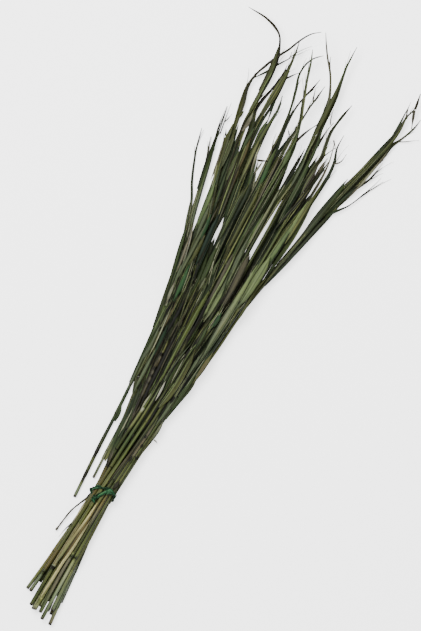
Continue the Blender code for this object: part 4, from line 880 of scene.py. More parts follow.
class Bunch:
    """The lines of every CAD piece, and the height of the bunch's surface over the floor."""

    def __init__(self):
        self.canes = {k: read_cane(f"cane_{k:02d}") for k in CANES}
        self.leaves = {k: read_leaf(f"leaf_{k:02d}") for k in LEAVES}
        lines = [line for line, _ in self.canes.values()]
        lines += [np.column_stack([line[:, :3], 0.5 * line[:, 3]]) for line in self.leaves.values()]
        tops = []
        for line in lines:
            _, fine = eased(line, 4.0)
            tops.append(fine)
        self.tops = np.concatenate(tops)

    def surface(self, x, y, reach):
        """Height of the highest piece near a place, or nothing."""
        beside = np.abs(self.tops[:, 0] - x) < reach + self.tops[:, 3]
        near = beside & (np.abs(self.tops[:, 1] - y) < NEAR_ALONG)
        return float((self.tops[near, 2] + self.tops[near, 3]).max()) if near.any() else 0.0

    def laid_on(self, path, width, lift, bridging=0.7, steepest=0.2):
        """Heights for a stiff blade that lies on the bunch along a path.

        Bridging is the share of the pile's height that it keeps over a gap, steepest is how fast it may
        rise or fall.
        """
        heights = np.array([
            max(self.surface(x, y, 0.35 * w), bridging * self.surface(x, y, w + 6))
            for (x, y), w in zip(path, width)
        ])
        places = np.concatenate([[0.0], np.cumsum(np.linalg.norm(np.diff(path, axis=0), axis=1))])
        heights = (heights - steepest * np.abs(places[:, None] - places)).max(axis=1)
        for _ in range(3):
            heights[1:-1] = np.maximum(heights[1:-1], 0) * 0.5 + 0.25 * (heights[:-2] + heights[2:])
        return heights + lift


bunch = Bunch()


def fan_edges(y):
    """Where the fan of leaves begins and ends across the bunch."""
    return (np.interp(y, FAN[:, 0], FAN[:, k]) for k in (1, 2))


def sweep_tree(name, profile):
    """A tree that sweeps a section along each line of its mesh: a stem, a folded blade or a laid twine."""
    tree = bpy.data.node_groups.new(name, "GeometryNodeTree")
    made = {}
    interface = tree.interface
    interface.new_socket("Geometry", in_out="INPUT", socket_type="NodeSocketGeometry")
    for label, kind, value in (
        ("Sides", "NodeSocketInt", 12),
        ("Fold", "NodeSocketFloat", 0.5),
        ("Thickness", "NodeSocketFloat", 0.07),
        ("Ripple", "NodeSocketFloat", 0.0),
        ("Ripple Length", "NodeSocketFloat", 30.0),
        ("Unevenness", "NodeSocketFloat", 0.0),
        ("Material", "NodeSocketMaterial", None),
    ):
        socket = interface.new_socket(label, in_out="INPUT", socket_type=kind)
        if value is not None:
            socket.default_value = value
    interface.new_socket("Geometry", in_out="OUTPUT", socket_type="NodeSocketGeometry")
    n = Nodes(tree)
    group = n.node("NodeGroupInput")
    for socket in group.outputs:
        made[socket.name] = Value(n, socket)

    def kept(name, kind="FLOAT"):
        return n.add("GeometryNodeInputNamedAttribute", {"data_type": kind}, {"Name": name})

    def store(geometry, name, value, kind="FLOAT"):
        settings = {"data_type": kind, "domain": "POINT"}
        return n.add("GeometryNodeStoreNamedAttribute", settings,
                     {"Geometry": geometry, "Name": name, "Value": value})

    ring = n.add("GeometryNodeCurvePrimitiveCircle", None, {"Resolution": made["Sides"], "Radius": 1.0})
    place = n.add("GeometryNodeInputPosition")
    ring = store(ring, "ring", place, "FLOAT_VECTOR")
    x, y = n.part(place, 0), n.part(place, 1)
    if profile == "blade":
        rise = made["Fold"] * (((y * y + 0.012) ** 0.5) - 0.5)
        thick = made["Thickness"] * x * (1.15 - y * y)
        section = n.join(y, 0.0 - rise - thick, 0.0)
        ring = n.add("GeometryNodeSetPosition", None, {"Geometry": ring, "Position": section})
    elif profile == "twine":
        angle = n.maths("ARCTAN2", y, x)
        lobes = 0.80 + 0.20 * n.maths("COSINE", angle * 3.0)
        ring = n.add("GeometryNodeSetPosition", None, {"Geometry": ring,
                                                       "Position": n.scaled(place, lobes)})

    line = n.add("GeometryNodeMeshToCurve", None, {"Mesh": made["Geometry"]})
    mode = "MINIMUM_TWIST" if profile == "twine" else "Z_UP"
    line = n.add("GeometryNodeSetCurveNormal", {"mode": mode}, {"Curve": line})
    line = n.add("GeometryNodeSetCurveTilt", None, {"Curve": line, "Tilt": kept("roll")})
    tangent = n.add("GeometryNodeInputTangent")
    normal = n.add("GeometryNodeInputNormal")
    line = store(line, "up", n.vector("CROSS_PRODUCT", normal, tangent), "FLOAT_VECTOR")
    parts = {"Curve": line, "Profile Curve": ring, "Scale": kept("half") * MM, "Fill Caps": True}
    swept = n.add("GeometryNodeCurveToMesh", None, parts)

    round_place = kept("ring", "FLOAT_VECTOR")
    along = kept("along")
    seed = kept("seed")
    if profile == "blade":
        edge = n.part(round_place, 1)
        wave = n.noise(n.join(along / made["Ripple Length"], edge * 0.8, seed * 3.7), 1.0, 1.0) - 0.5
        shift = wave * 2.0 * made["Ripple"] * edge * edge * (kept("half") / 4.0)
        offset = n.scaled(kept("up", "FLOAT_VECTOR"), shift)
    else:
        level = n.vector("MULTIPLY", round_place, (0.9, 0.9, 0.0))
        spot = n.vector("ADD", level, n.join(seed * 5.1, 0.0, along * 0.06))
        shift = (n.noise(spot, 1.0, 2.0) - 0.5) * made["Unevenness"]
        offset = n.scaled(n.add("GeometryNodeInputNormal"), shift)
    swept = n.add("GeometryNodeSetPosition", None, {"Geometry": swept, "Offset": offset})
    swept = n.add("GeometryNodeSetShadeSmooth", None, {"Geometry": swept, "Shade Smooth": True})
    swept = n.add("GeometryNodeRealizeInstances", None, {"Geometry": swept})
    swept = n.add("GeometryNodeSetMaterial", None, {"Geometry": swept, "Material": made["Material"]})
    n.node("NodeGroupOutput", None, {"Geometry": swept})
    return tree


def rail_mesh(name, strands):
    """A mesh of open lines that carries each strand's values at its points."""
    points = np.concatenate([s.points for s in strands])
    edges, start = [], 0
    for s in strands:
        edges += [(start + k, start + k + 1) for k in range(len(s.points) - 1)]
        start += len(s.points)
    mesh = bpy.data.meshes.new(name)
    mesh.from_pydata(((points + TIE) * MM).tolist(), edges, [])
    for label in ("half", "roll", "patch", "along"):
        values = np.concatenate([getattr(s, label) for s in strands]).astype(np.float32)
        mesh.attributes.new(label, "FLOAT", "POINT").data.foreach_set("value", values)
    seeds = np.concatenate([np.full(len(s.points), s.seed) for s in strands]).astype(np.float32)
    mesh.attributes.new("seed", "FLOAT", "POINT").data.foreach_set("value", seeds)
    tints = np.concatenate([s.tint for s in strands]).astype(np.float32)
    mesh.attributes.new("tint", "FLOAT_VECTOR", "POINT").data.foreach_set("vector", tints.ravel())
    return mesh


def grown(name, strands, tree, material, slot, **inputs):
    """Sweeps strands with a tree and leaves a plain mesh that rides on the bunch."""
    thing = bpy.data.objects.new(name, rail_mesh(name, strands))
    bpy.context.scene.collection.objects.link(thing)
    modifier = thing.modifiers.new("Sweep", "NODES")
    modifier.node_group = tree
    named = {item.name: item.identifier for item in tree.interface.items_tree if item.in_out == "INPUT"}
    for label, value in {**inputs, "Material": material}.items():
        modifier[named[label.replace("_", " ")]] = value
    depsgraph = bpy.context.evaluated_depsgraph_get()
    evaluated = thing.evaluated_get(depsgraph)
    mesh = bpy.data.meshes.new_from_object(evaluated, preserve_all_data_layers=True, depsgraph=depsgraph)
    thing.modifiers.clear()
    rail = thing.data
    thing.data = mesh
    bpy.data.meshes.remove(rail)
    mesh.name = name
    rest_on_floor(mesh)
    face_outwards(mesh)
    for label in ("half", "roll", "up"):
        if label in mesh.attributes:
            mesh.attributes.remove(mesh.attributes[label])
    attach(thing, "root")
    return thing


def rest_on_floor(mesh):
    """Presses what would dip under the floor flat against it."""
    places = np.empty(3 * len(mesh.vertices), dtype=np.float32)
    mesh.vertices.foreach_get("co", places)
    heights = places[2::3]
    low = heights < PRESSED
    heights[low] = PRESSED * np.exp(heights[low] / PRESSED - 1)
    mesh.vertices.foreach_set("co", places)
    mesh.update()


def face_outwards(mesh):
    solid = bmesh.new()
    solid.from_mesh(mesh)
    if solid.calc_volume(signed=True) < 0:
        bmesh.ops.reverse_faces(solid, faces=solid.faces)
        solid.to_mesh(mesh)
    solid.free()


def surface_material(name, kind):
    """Procedural finish read from the strands' own values: tint, place on the strand, and patches."""
    material = bpy.data.materials.new(name)
    material.use_nodes = True
    n = Nodes(material.node_tree)
    shader = material.node_tree.nodes["Principled BSDF"]

    def kept(label, output=2):
        return n.add("ShaderNodeAttribute", {"attribute_name": label}, None, output)

    def toned(share, now, factors):
        return n.mix(share, now, n.mix(1.0, now, factors, "MULTIPLY"))

    tint, ring = kept("tint", 0), kept("ring", 1)
    along, seed, patch = kept("along"), kept("seed"), kept("patch")
    x, y = n.part(ring, 0), n.part(ring, 1)
    blade = kind in ("leaf", "sheath")
    if blade:
        fibre_place = n.join(y * 4.5 + seed * 3.1, x * 0.4, along * 0.012 + seed)
        cloud_place = n.join(y * 0.9 + seed * 5.3, seed * 1.7, along * 0.035)
    else:
        fibre_place = n.join(x * 2.4 + seed * 2.3, y * 2.4, along * 0.016 + seed)
        cloud_place = n.join(x * 0.7 + seed * 5.3, y * 0.7, along * 0.045 + seed)
    fibres = n.noise(fibre_place, 1.9, 4.0, 0.62)
    clouds = n.noise(cloud_place, 1.0, 3.0, 0.55)
    flecks = n.noise(n.join(x * 1.6 + seed, y * 1.6 + seed * 2.0, along * 0.35), 1.0, 2.0)
    if blade:
        low, gain, seam_depth, streak_depth = BLADE_FINISH[kind]
        bands = n.noise(n.join(y * 2.1 + seed * 7.3, seed * 2.9, along * 0.007), 1.0, 1.0).rise(0.40, 0.60)
        seams = n.noise(n.join(y * 6.5 + seed * 11.0, seed * 4.1, along * 0.009), 1.0, 0.0).rise(0.58, 0.68)
        # Painted shade: each blade is darker towards its edges, where shade falls between neighbouring
        # blades
        side = 1.0 - y.size() ** 4.0 * 0.6
        shade = (0.50 + fibres) * (0.65 + 0.7 * clouds) * (low + gain * bands)
        shade = shade * (1.0 - seam_depth * seams) * side
    else:
        bands = n.noise(n.join(x * 1.5 + seed * 7.3, y * 1.5, along * 0.006), 1.0, 1.0).rise(0.38, 0.62)
        # Painted shade: each cane is darker towards the sides of its section, where a round stem turns away
        # from the light above
        side = 1.0 - x.size() ** 2.5 * 0.8
        shade = (0.45 + 1.1 * fibres) * (0.70 + 0.6 * clouds) * (0.60 + 0.62 * bands) * side
    colour_now = n.mix(1.0, tint, n.join(shade, shade, shade), "MULTIPLY")
    colour_now = toned(clouds.rise(0.50, 0.68) * 0.5, colour_now, WARM)
    if blade:
        streaks = n.noise(n.join(y * 5.0 + seed * 13.0, seed * 6.1, along * 0.006), 1.0, 0.0)
        colour_now = toned(streaks.rise(0.60, 0.72) * streak_depth, colour_now, STREAK)
        colour_now = toned((1.0 - y.size().rise(0.02, 0.12)) * 0.3, colour_now, MIDRIB)
        dry = y.size().rise(0.72, 1.0) * flecks.rise(0.45, 0.65) * 0.4
        colour_now = toned(dry, colour_now, DRY_EDGE)
    colour_now = toned(flecks.rise(0.60, 0.70) * 0.5, colour_now, SPECK)
    edge = (patch + (flecks - 0.5) * 0.9).rise(0.30, 0.60)
    colour_now = n.mix(edge, colour_now, (*tone("scar"), 1))
    links = material.node_tree.links
    links.new(colour_now.socket, shader.inputs["Base Color"])
    rough = ROUGHNESS[kind] + (fibres - 0.5) * 0.3
    links.new(rough.socket, shader.inputs["Roughness"])
    height = fibres * 0.7 + flecks * 0.3
    bump = n.add("ShaderNodeBump", None, {"Strength": 0.35, "Distance": 0.0003, "Height": height})
    links.new(bump.socket, shader.inputs["Normal"])
    shader.inputs["Specular IOR Level"].default_value = GLOSS
    return material


def registered(kind, build):
    """A tree or material that is made once, when it is first asked for."""
    if kind not in registered.made:
        registered.made[kind] = build()
    return registered.made[kind]


registered.made = {}


def sweep(profile):
    return registered(("sweep", profile), lambda: sweep_tree(f"Sweep {profile}", profile))


def finish_of(kind):
    return registered(("finish", kind), lambda: surface_material(f"reed_{kind}", kind))


def cane_strand(number, rng):
    """A cane's line with its joints' swellings, the sheath that starts over each, and its tones."""
    sizes = bpy.context.scene.reed_sizes
    line, joints = bunch.canes[number]
    near_joint = (-5, -3, -1.8, -1.0, -0.4, 0.1, 0.5, 1.0, 2.0, 3.5, 5.5)
    places, fine = eased(line, 1.4 * sizes.step / MM, [j + d for j in joints for d in near_joint])
    radius = fine[:, 3].copy()
    patch = np.zeros(len(places))
    for joint in joints:
        away = places - joint
        swelling = 0.09 * np.exp(-((away / 1.3) ** 2))
        radius *= 1 + swelling - 0.05 * np.exp(-(((away + 2.6) / 0.8) ** 2))
        length = rng.uniform(35, 80)
        sheath = (away > 0.3) & (away < length)
        radius[sheath] += sizes.sheath / MM * (1 - 0.5 * away[sheath] / length)
        patch = np.maximum(patch, rng.uniform(0.3, 0.95) * np.exp(-((away / rng.uniform(0.9, 2.0)) ** 2)))
    radius *= np.interp(places[-1] - places, (0, 60), (0.3, 1.0))
    if number in CANE_TONES:
        tints = tones_at(CANE_TONES[number], fine[:, 1])
    else:
        pick = [rng.choice(PLAIN_CANE) for _ in range(5)]
        tints = tones_at(list(zip((-150, -20, 100, 240, 400), pick)), fine[:, 1])
    if number == SPOTTED_CANE:
        patch = np.maximum(patch, spotted(fine[:, 1]))
    tints = tints * np.interp(fine[:, 1], (-20, 20), (1.75, 1.25))[:, None]
    return Strand(fine[:, :3], radius, 0.0, tints, patch, rng.random() * 10)


def spotted(y):
    """Dark rounds along one cane."""
    spots = np.zeros(len(y))
    for at in SPOTS:
        spots = np.maximum(spots, 0.95 * np.exp(-(((y - at) / SPOT_HALF) ** 4)))
    return spots


def hollow_out(thing, butt, inward, radius, slope):
    """Opens the cut end of a cane: a rim, and a hollow behind it that is painted near black as painted
    shade.
    """
    sizes = bpy.context.scene.reed_sizes
    mesh = thing.data
    solid = bmesh.new()
    solid.from_mesh(mesh)
    butt, inward = Vector(butt), Vector(inward).normalized()
    caps = (f for f in solid.faces if len(f.verts) > 4)
    cap = min(caps, key=lambda f: (f.calc_center_median() - butt).length)
    for vert in cap.verts:
        vert.co += inward * slope * max(0.0, vert.co.z - butt.z + radius * MM)
    tints = solid.verts.layers.float_vector["tint"]
    patches = solid.verts.layers.float["patch"]
    for vert in cap.verts:
        vert[tints] = Vector(tone("grey_brown"))
    bmesh.ops.inset_individual(solid, faces=[cap], thickness=0.42 * radius * MM)
    # Painted shade: the inner cap and the walls of the hollow take the near-black cut tone, and the deepest
    # corners also the dark scar tone through a full patch
    for vert in cap.verts:
        vert[tints] = Vector(tone("cut"))
    made = bmesh.ops.extrude_face_region(solid, geom=[cap])
    deep = [v for v in made["geom"] if isinstance(v, bmesh.types.BMVert)]
    for vert in deep:
        vert.co += inward * sizes.hollow
        vert[tints] = Vector(tone("cut"))
        vert[patches] = 1.0
    bmesh.ops.delete(solid, geom=[f for f in [cap] if f.is_valid], context="FACES")
    solid.normal_update()
    solid.to_mesh(mesh)
    solid.free()


def drawn(path):
    """A path of (x, y, width) as an array, and as evenly spaced rows with half widths."""
    path = np.array(path, dtype=float)
    _, fine = eased(np.column_stack([path[:, :2], np.zeros(len(path)), path[:, 2] / 2]), PATH_STEP)
    return path, fine


def blade_strand(columns, names, rng, step, sway=0.10, narrow=8.0, finest=0.12, blunt=0.6, loose=False):
    """A blade's line from its base to a fine tip, with its tones and sway. A loose one has two tips."""
    places, fine = eased(columns, step)
    length = places[-1]
    half = np.maximum(fine[:, 3], finest)
    half *= np.clip((length - places) / narrow, 0.12, 1) ** blunt
    if loose:
        half *= np.clip(places / narrow, 0.12, 1) ** blunt
    roll = fine[:, 4] + sway * np.sin(places / rng.uniform(14, 30) + rng.uniform(0, 6))
    stops = list(zip(np.linspace(0, length, len(names)) if len(names) > 1 else [0], names))
    return Strand(fine[:, :3], half, roll, tones_at(stops, places), 0.0, rng.random() * 10)


class ReedOperator:
    bl_options = {"REGISTER", "UNDO"}


class REEDS_OT_canes(ReedOperator, bpy.types.Operator):
    """Makes the jointed canes with their hollow cut ends"""

    bl_idname = "reeds.canes"
    bl_label = "Canes"

    def execute(self, context):
        sizes = context.scene.reed_sizes
        for number in bunch.canes:
            rng = random.Random(CANE_SEED + number)
            strand = cane_strand(number, rng)
            piece = grown(f"reed_cane_{number:02d}", [strand], sweep("stem"), finish_of("cane"), "cane",
                          Sides=sizes.cane_sides, Unevenness=0.00022)
            butt = (strand.points[0] + TIE) * MM
            hollow_out(piece, butt, strand.points[1] - strand.points[0], strand.half[0],
                       rng.uniform(0.3, 0.65))
            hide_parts(f"cane_{number:02d}")
        return {"FINISHED"}


class REEDS_OT_leaves(ReedOperator, bpy.types.Operator):
    """Makes the folded leaves from their bases to their fine tips"""

    bl_idname = "reeds.leaves"
    bl_label = "Leaves"

    def execute(self, context):
        sizes = context.scene.reed_sizes
        for number, line in bunch.leaves.items():
            rng = random.Random(LEAF_SEED + number)
            if number in LEAF_WIDTHS:
                line = line.copy()
                line[:, 3] *= np.interp(line[:, 1], *zip(*LEAF_WIDTHS[number]))
            strand = blade_strand(line, LEAF_TONES[number - 1], rng, sizes.step / MM, narrow=16.0,
                                  finest=0.85, blunt=0.4)
            piece = grown(f"reed_leaf_{number:02d}", [strand], sweep("blade"), finish_of("leaf"), "leaf",
                          Sides=sizes.blade_sides, Fold=sizes.fold * rng.uniform(0.7, 1.25),
                          Thickness=sizes.thickness, Ripple=sizes.ripple, Ripple_Length=rng.uniform(16, 34))
            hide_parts(f"leaf_{number:02d}")
        return {"FINISHED"}


class REEDS_OT_stalk(ReedOperator, bpy.types.Operator):
    """Makes the withered stalk caught under the twine"""

    bl_idname = "reeds.stalk"
    bl_label = "Withered stalk"

    def execute(self, context):
        rings = rings_of("dry_stalk", STALK_SIDES_IN_CAD, ends_high=True)
        rows = [(*ring.mean(0), np.linalg.norm(ring - ring.mean(0), axis=1).mean()) for ring in rings]
        places, fine = eased(rows, 1.6)
        half = 1.05 * (1 + 0.15 * np.sin(places / 2.3) * np.sin(places / 5.1 + 1))
        half *= np.interp(fine[:, 1], (-67, -64, -61), (1.3, 1.2, 1.0))
        half *= np.interp(fine[:, 1], (-30, -10, 2), (1.0, 1.25, 0.4))
        fine[:, 0] += np.interp(fine[:, 1], (-8, 4), (0.0, 1.8))
        tints = tones_at(((0, "brown_dark"), (90, "grey_brown")), places)
        strand = Strand(fine[:, :3], half, 0.0, tints, 0.0, 3.0)
        piece = grown("reed_dry_stalk", [strand], sweep("stem"), finish_of("stalk"), "stalk", Sides=8,
                      Unevenness=0.0004)
        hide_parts("dry_stalk")
        return {"FINISHED"}


class REEDS_OT_twine(ReedOperator, bpy.types.Operator):
    """Makes the twisted twine round the canes, with loose plies over its crossing"""

    bl_idname = "reeds.twine"
    bl_label = "Twine"

    def execute(self, context):
        rings = rings_of("twine_tie", TWINE_SIDES_IN_CAD)
        places, fine = eased([ring.mean(0) for ring in rings], 0.9)
        route = self.settled(fine[:, :3])
        along = np.gradient(route, axis=0)
        along /= np.linalg.norm(along, axis=1)[:, None]
        middle = np.column_stack([np.zeros(len(route)), route[:, 1],
                                  np.full(len(route), route[:, 2].mean())])
        outward = route - middle
        outward -= (outward * along).sum(1)[:, None] * along
        outward /= np.linalg.norm(outward, axis=1)[:, None]
        aside = np.cross(along, outward)
        rng = random.Random(TWINE_SEED)
        strands = []
        for ply in range(PLIES):
            turn = 2 * math.pi * (places / PLY_TURN + ply / PLIES) + 0.6 * np.sin(places / 9 + ply)
            loose = 1.0 + 0.35 * np.sin(places / 11.0 + 2 * ply)
            points = route + aside * (loose * np.cos(turn))[:, None]
            points = points + outward * (0.55 + 0.55 * np.sin(turn))[:, None]
            share = (0.5 + 0.5 * np.sin(places / 6.5 + 2.4 * ply + 0.7 * np.sin(places / 15)))[:, None]
            tints = (1 - share) * tone("twine_dark_and_shade") + share * tone("twine")
            half = 0.82 + 0.16 * np.sin(places / 5.0 + ply)
            strands.append(Strand(points, half, 2 * turn, tints, 0.0, rng.random() * 10))
        strands += self.flattened(rng)
        piece = grown("reed_twine", strands, sweep("twine"), finish_of("twine"), "twine", Sides=15,
                      Unevenness=0.0004)
        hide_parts("twine_tie")
        return {"FINISHED"}

    def settled(self, route):
        """The twine's route, tucked in among the canes at the left and lowered on to them at the top."""
        route = route.copy()
        x, y, z = route.T
        # The first winding's left side runs towards the second and goes in among the upper canes
        left = (y < -3.0) & (x < -5.0) & (z > 4.0)
        route[left, 1] += np.interp(x[left], (-17, -6), (4.5, 0.0))
        route[left, 2] -= np.interp(x[left], (-12, -9), (7.0, 0.0)) * (z[left] > 14.0)
        inwards = np.interp(x[left], (-17, -12), (4.2, 0.8))
        route[left, 0] += inwards * np.interp(z[left], (16, 22), (0.15, 1.0))
        # The second winding's left side lies closer in, and nearer to the first
        second = (y > 0.0) & (x < -11.0)
        route[second, 0] += np.interp(x[second], (-16, -12), (1.6, 0.0))
        route[second, 1] -= np.interp(x[second], (-15, -11), (2.4, 0.4))
        # The crossing slants to the left towards the cut ends and comes down on to the canes
        top = (y < 3.0) & (z > TIE_TOP) & (x > -6.0) & (x < 4.0)
        route[top, 0] += np.interp(y[top], (-11, -4, 3), (-3.6, -2.6, 0.0))
        resting = np.array([bunch.surface(*row[:2], 1.2) + TWINE_LIFT for row in route])
        over = (z > TIE_TOP) & (resting > TIE_TOP)
        route[over, 2] = np.minimum(z[over], resting[over])
        return route

    def flattened(self, rng):
        """Loose plies of the twine that lie spread out over its crossing."""
        strands = []
        for name, path in TWINE_PLIES:
            path = np.array(path, dtype=float)
            path[:, 2] -= np.interp(path[:, 2], (26.0, 31.0), (0.0, 2.5))
            _, fine = eased(path, 1.0)
            strands.append(Strand(fine[:, :3], fine[:, 3], 0.0, tone(name), 0.0, rng.random() * 10))
        return strands


class REEDS_OT_strips(ReedOperator, bpy.types.Operator):
    """Makes the loose sheath strips and short blades that lie on top of the bunch"""

    bl_idname = "reeds.strips"
    bl_label = "Sheath strips"

    def execute(self, context):
        sizes = context.scene.reed_sizes
        rng = random.Random(STRIP_SEED)
        strands = []
        for k, (name, path) in enumerate(STRIPS):
            path, fine = drawn(path)
            bridging = 0.0 if abs(fine[-1, 1] - fine[0, 1]) < SHORT_STRIP else 0.7
            z = bunch.laid_on(fine[:, :2], 2 * fine[:, 3], 0.2 + 0.15 * (k % 4), bridging, 0.1)
            roll = np.full(len(fine), rng.uniform(-0.2, 0.2))
            rows = np.column_stack([fine[:, :2], z, fine[:, 3], roll])
            narrow = min(14.0, 0.3 * abs(path[-1, 1] - path[0, 1]))
            names = (name,) if isinstance(name, str) else name
            strand = blade_strand(rows, names, rng, sizes.step / MM, sway=0.06, narrow=narrow, loose=True)
            strands.append(strand)
            broadest = path[:, 2].max()
            if broadest > BROAD_STRIP:
                fibres = 5 if broadest < BROADEST_STRIP else 10
                strands += [self.hairline(rows, rng, sizes) for _ in range(fibres)]
        grown("reed_sheath_strips", strands, sweep("blade"), finish_of("sheath"), "leaf", Sides=10,
              Fold=-0.25,
              Thickness=0.08, Ripple=sizes.ripple * 0.5, Ripple_Length=22.0)
        strands = []
        for names, level, path in UNDER:
            _, fine = drawn(path)
            z = np.maximum(level * bunch.laid_on(fine[:, :2], 2 * fine[:, 3] + 10, 0.0), LOWEST)
            roll = np.full(len(fine), rng.uniform(-0.25, 0.25))
            rows = np.column_stack([fine[:, :2], z, fine[:, 3], roll])
            strands.append(blade_strand(rows, names, rng, sizes.step / MM, sway=0.08, narrow=9.0))
        grown("reed_under_blades", strands, sweep("blade"), finish_of("sheath"), "leaf", Sides=10,
              Fold=0.35,
              Thickness=0.08, Ripple=sizes.ripple, Ripple_Length=24.0)
        strands = [self.sliver(rng, sizes) for _ in range(sizes.slivers)]
        grown("reed_slivers", strands, sweep("blade"), finish_of("leaf"), "leaf", Sides=6, Fold=-0.3,
              Thickness=0.15, Ripple=0.0, Ripple_Length=24.0)
        return {"FINISHED"}

    def hairline(self, rows, rng, sizes):
        """A fine fibre along a broad strip."""
        first = int(len(rows) * rng.uniform(0.0, 0.3))
        last = max(first + 3, int(len(rows) * rng.uniform(0.7, 1.0)))
        rows = rows[first:last].copy()
        rows[:, 0] += rng.uniform(-0.8, 0.8) * rows[:, 3]
        rows[:, 2] += 0.35
        rows[:, 3] = rng.uniform(0.3, 0.5)
        tones = ("near_black", "brown_dark", "leaf_dark", "grey_green_light", "grey_green", "sedge")
        return blade_strand(rows, (rng.choice(tones),), rng, 1.6 * sizes.step / MM, narrow=8.0, loose=True)

    def sliver(self, rng, sizes):
        """A fine dry fibre, or a dark line of painted shade standing for a crease, that lies along the top
        of the bunch.
        """
        low = rng.uniform(125, 290)
        high = min(low + rng.uniform(30, 110), rng.uniform(325, 345))
        share, drift = rng.uniform(0.06, 0.94), rng.uniform(-0.04, 0.04)
        y = np.linspace(low, high, 8)
        left, right = fan_edges(y)
        x = left + (right - left) * (share + drift * np.linspace(-1, 1, 8))
        half = np.full(8, rng.uniform(0.28, 0.55))
        z = bunch.laid_on(np.column_stack([x, y]), 2 * half, 0.45)
        rows = np.column_stack([x, y, z, half, np.full(8, rng.uniform(-0.3, 0.3))])
        pale = ("grey_green_light", "grey_green", "sedge", "pale", "olive_light", "leaf_light")
        # The dark slivers are painted shade for creases between blades
        deep = ("near_black", "black_green", "brown_dark", "leaf_dark")
        name = rng.choice(pale if rng.random() < 0.35 else deep)
        across, along = SPOTTED_STRETCH
        over_spots = (x > across[0]) & (x < across[1]) & (y > along[0]) & (y < along[1])
        if name in pale and over_spots.any():
            name = "brown_dark"
        return blade_strand(rows, (name,), rng, 1.6 * sizes.step / MM, sway=0.1, narrow=14.0, loose=True)


class REEDS_OT_filling(ReedOperator, bpy.types.Operator):
    """Makes the narrow blades that fill the bunch between its canes"""

    bl_idname = "reeds.filling"
    bl_label = "Filling blades"

    def execute(self, context):
        sizes = context.scene.reed_sizes
        rng = random.Random(FILLING_SEED)
        strands = []
        for _ in range(sizes.filling):
            strands.append(self.blade(rng, sizes, rng.uniform(60, 230), rng.uniform(90, 230)))
        for _ in range(sizes.filling // 4):
            strands.append(self.blade(rng, sizes, rng.uniform(-125, 20), rng.uniform(60, 150)))
        grown("reed_filling_blades", strands, sweep("blade"), finish_of("leaf"), "leaf", Sides=8, Fold=0.45,
              Thickness=0.08, Ripple=sizes.ripple, Ripple_Length=26.0)
        strands = []
        for line in bunch.leaves.values():
            broad = line[line[:, 3] > BROAD_LEAF]
            if len(broad) < 5:
                continue
            under = [-rng.uniform(0.8, 1.6), -rng.uniform(1.6, 2.5)]
            over = [rng.uniform(0.25, 0.5), rng.uniform(0.5, 0.8)]
            for lift in under + over:
                strands.append(self.companion(broad, rng, sizes, lift, rng.uniform(0.4, 0.7)))
            for lift in (0.9, 1.0, 1.1, 1.2, 1.3):
                strands.append(self.companion(broad, rng, sizes, lift, rng.uniform(0.12, 0.2)))
        grown("reed_companion_blades", strands, sweep("blade"), finish_of("leaf"), "leaf", Sides=8,
              Fold=0.4,
              Thickness=0.08, Ripple=sizes.ripple, Ripple_Length=24.0)
        return {"FINISHED"}

    def blade(self, rng, sizes, low, length):
        """One blade inside the pile, along the fan."""
        high = min(low + length, rng.uniform(270, 350))
        share = rng.uniform(0.06, 0.94)
        level = rng.uniform(0.12, 0.86)
        rows = []
        for y in np.linspace(low, high, 7):
            left, right = fan_edges(y)
            x = left + (right - left) * share
            top = bunch.surface(x, y, 3.0)
            grow = (y - low) / (high - low)
            half = rng.uniform(0.9, 1.1) * (1.0 + 1.9 * math.sin(math.pi * min(grow * 1.1, 1)))
            rows.append((x + rng.uniform(-0.5, 0.5), y, max(1.2, level * (top - 2.0)), half, 0.0))
        rows = np.array(rows)
        rows[:, 4] = rng.uniform(-0.6, 0.6)
        base = rng.choice(("leaf_dark", "olive_dark", "black_green", "leaf"))
        tip = rng.choice(("leaf_dark", "brown_dark", "olive"))
        return blade_strand(rows, (base, tip), rng, 2 * sizes.step / MM)

    def companion(self, line, rng, sizes, lift, share):
        """A narrow blade that runs along a leaf, just under or over it, and ends before it."""
        count = len(line)
        first = int(count * rng.uniform(0.05, 0.35))
        last = max(first + 3, int(count * rng.uniform(0.55, 0.85)))
        rows = line[first:last].copy()
        side = rng.choice((-1, 1)) * rng.uniform(0.3, 0.8)
        rows[:, 0] += side * rows[:, 3] * np.cos(rows[:, 4])
        rows[:, 2] -= side * rows[:, 3] * np.sin(rows[:, 4])
        rows[:, 2] = np.maximum(rows[:, 2] + lift, LOWEST)
        rows[:, 3] = np.clip(rows[:, 3] * share, 0.35, 2.2)
        rows[-1, 3] = 0.35
        rows[:, 4] += rng.uniform(-0.5, 0.5)
        if share < 0.3:
            low = high = ("grey_green_light", "dry_green", "sedge", "pale", "near_black", "brown_dark")
        elif lift < 0:
            low, high = ("leaf_dark", "olive_dark"), ("leaf_dark", "brown_dark")
        else:
            low = ("leaf_dark", "leaf", "leaf_light", "grey_green", "olive")
            high = ("leaf", "olive_light", "leaf_dark", "olive")
        names = (rng.choice(low), rng.choice(high))
        return blade_strand(rows, names, rng, 1.4 * sizes.step / MM, loose=lift > 0)


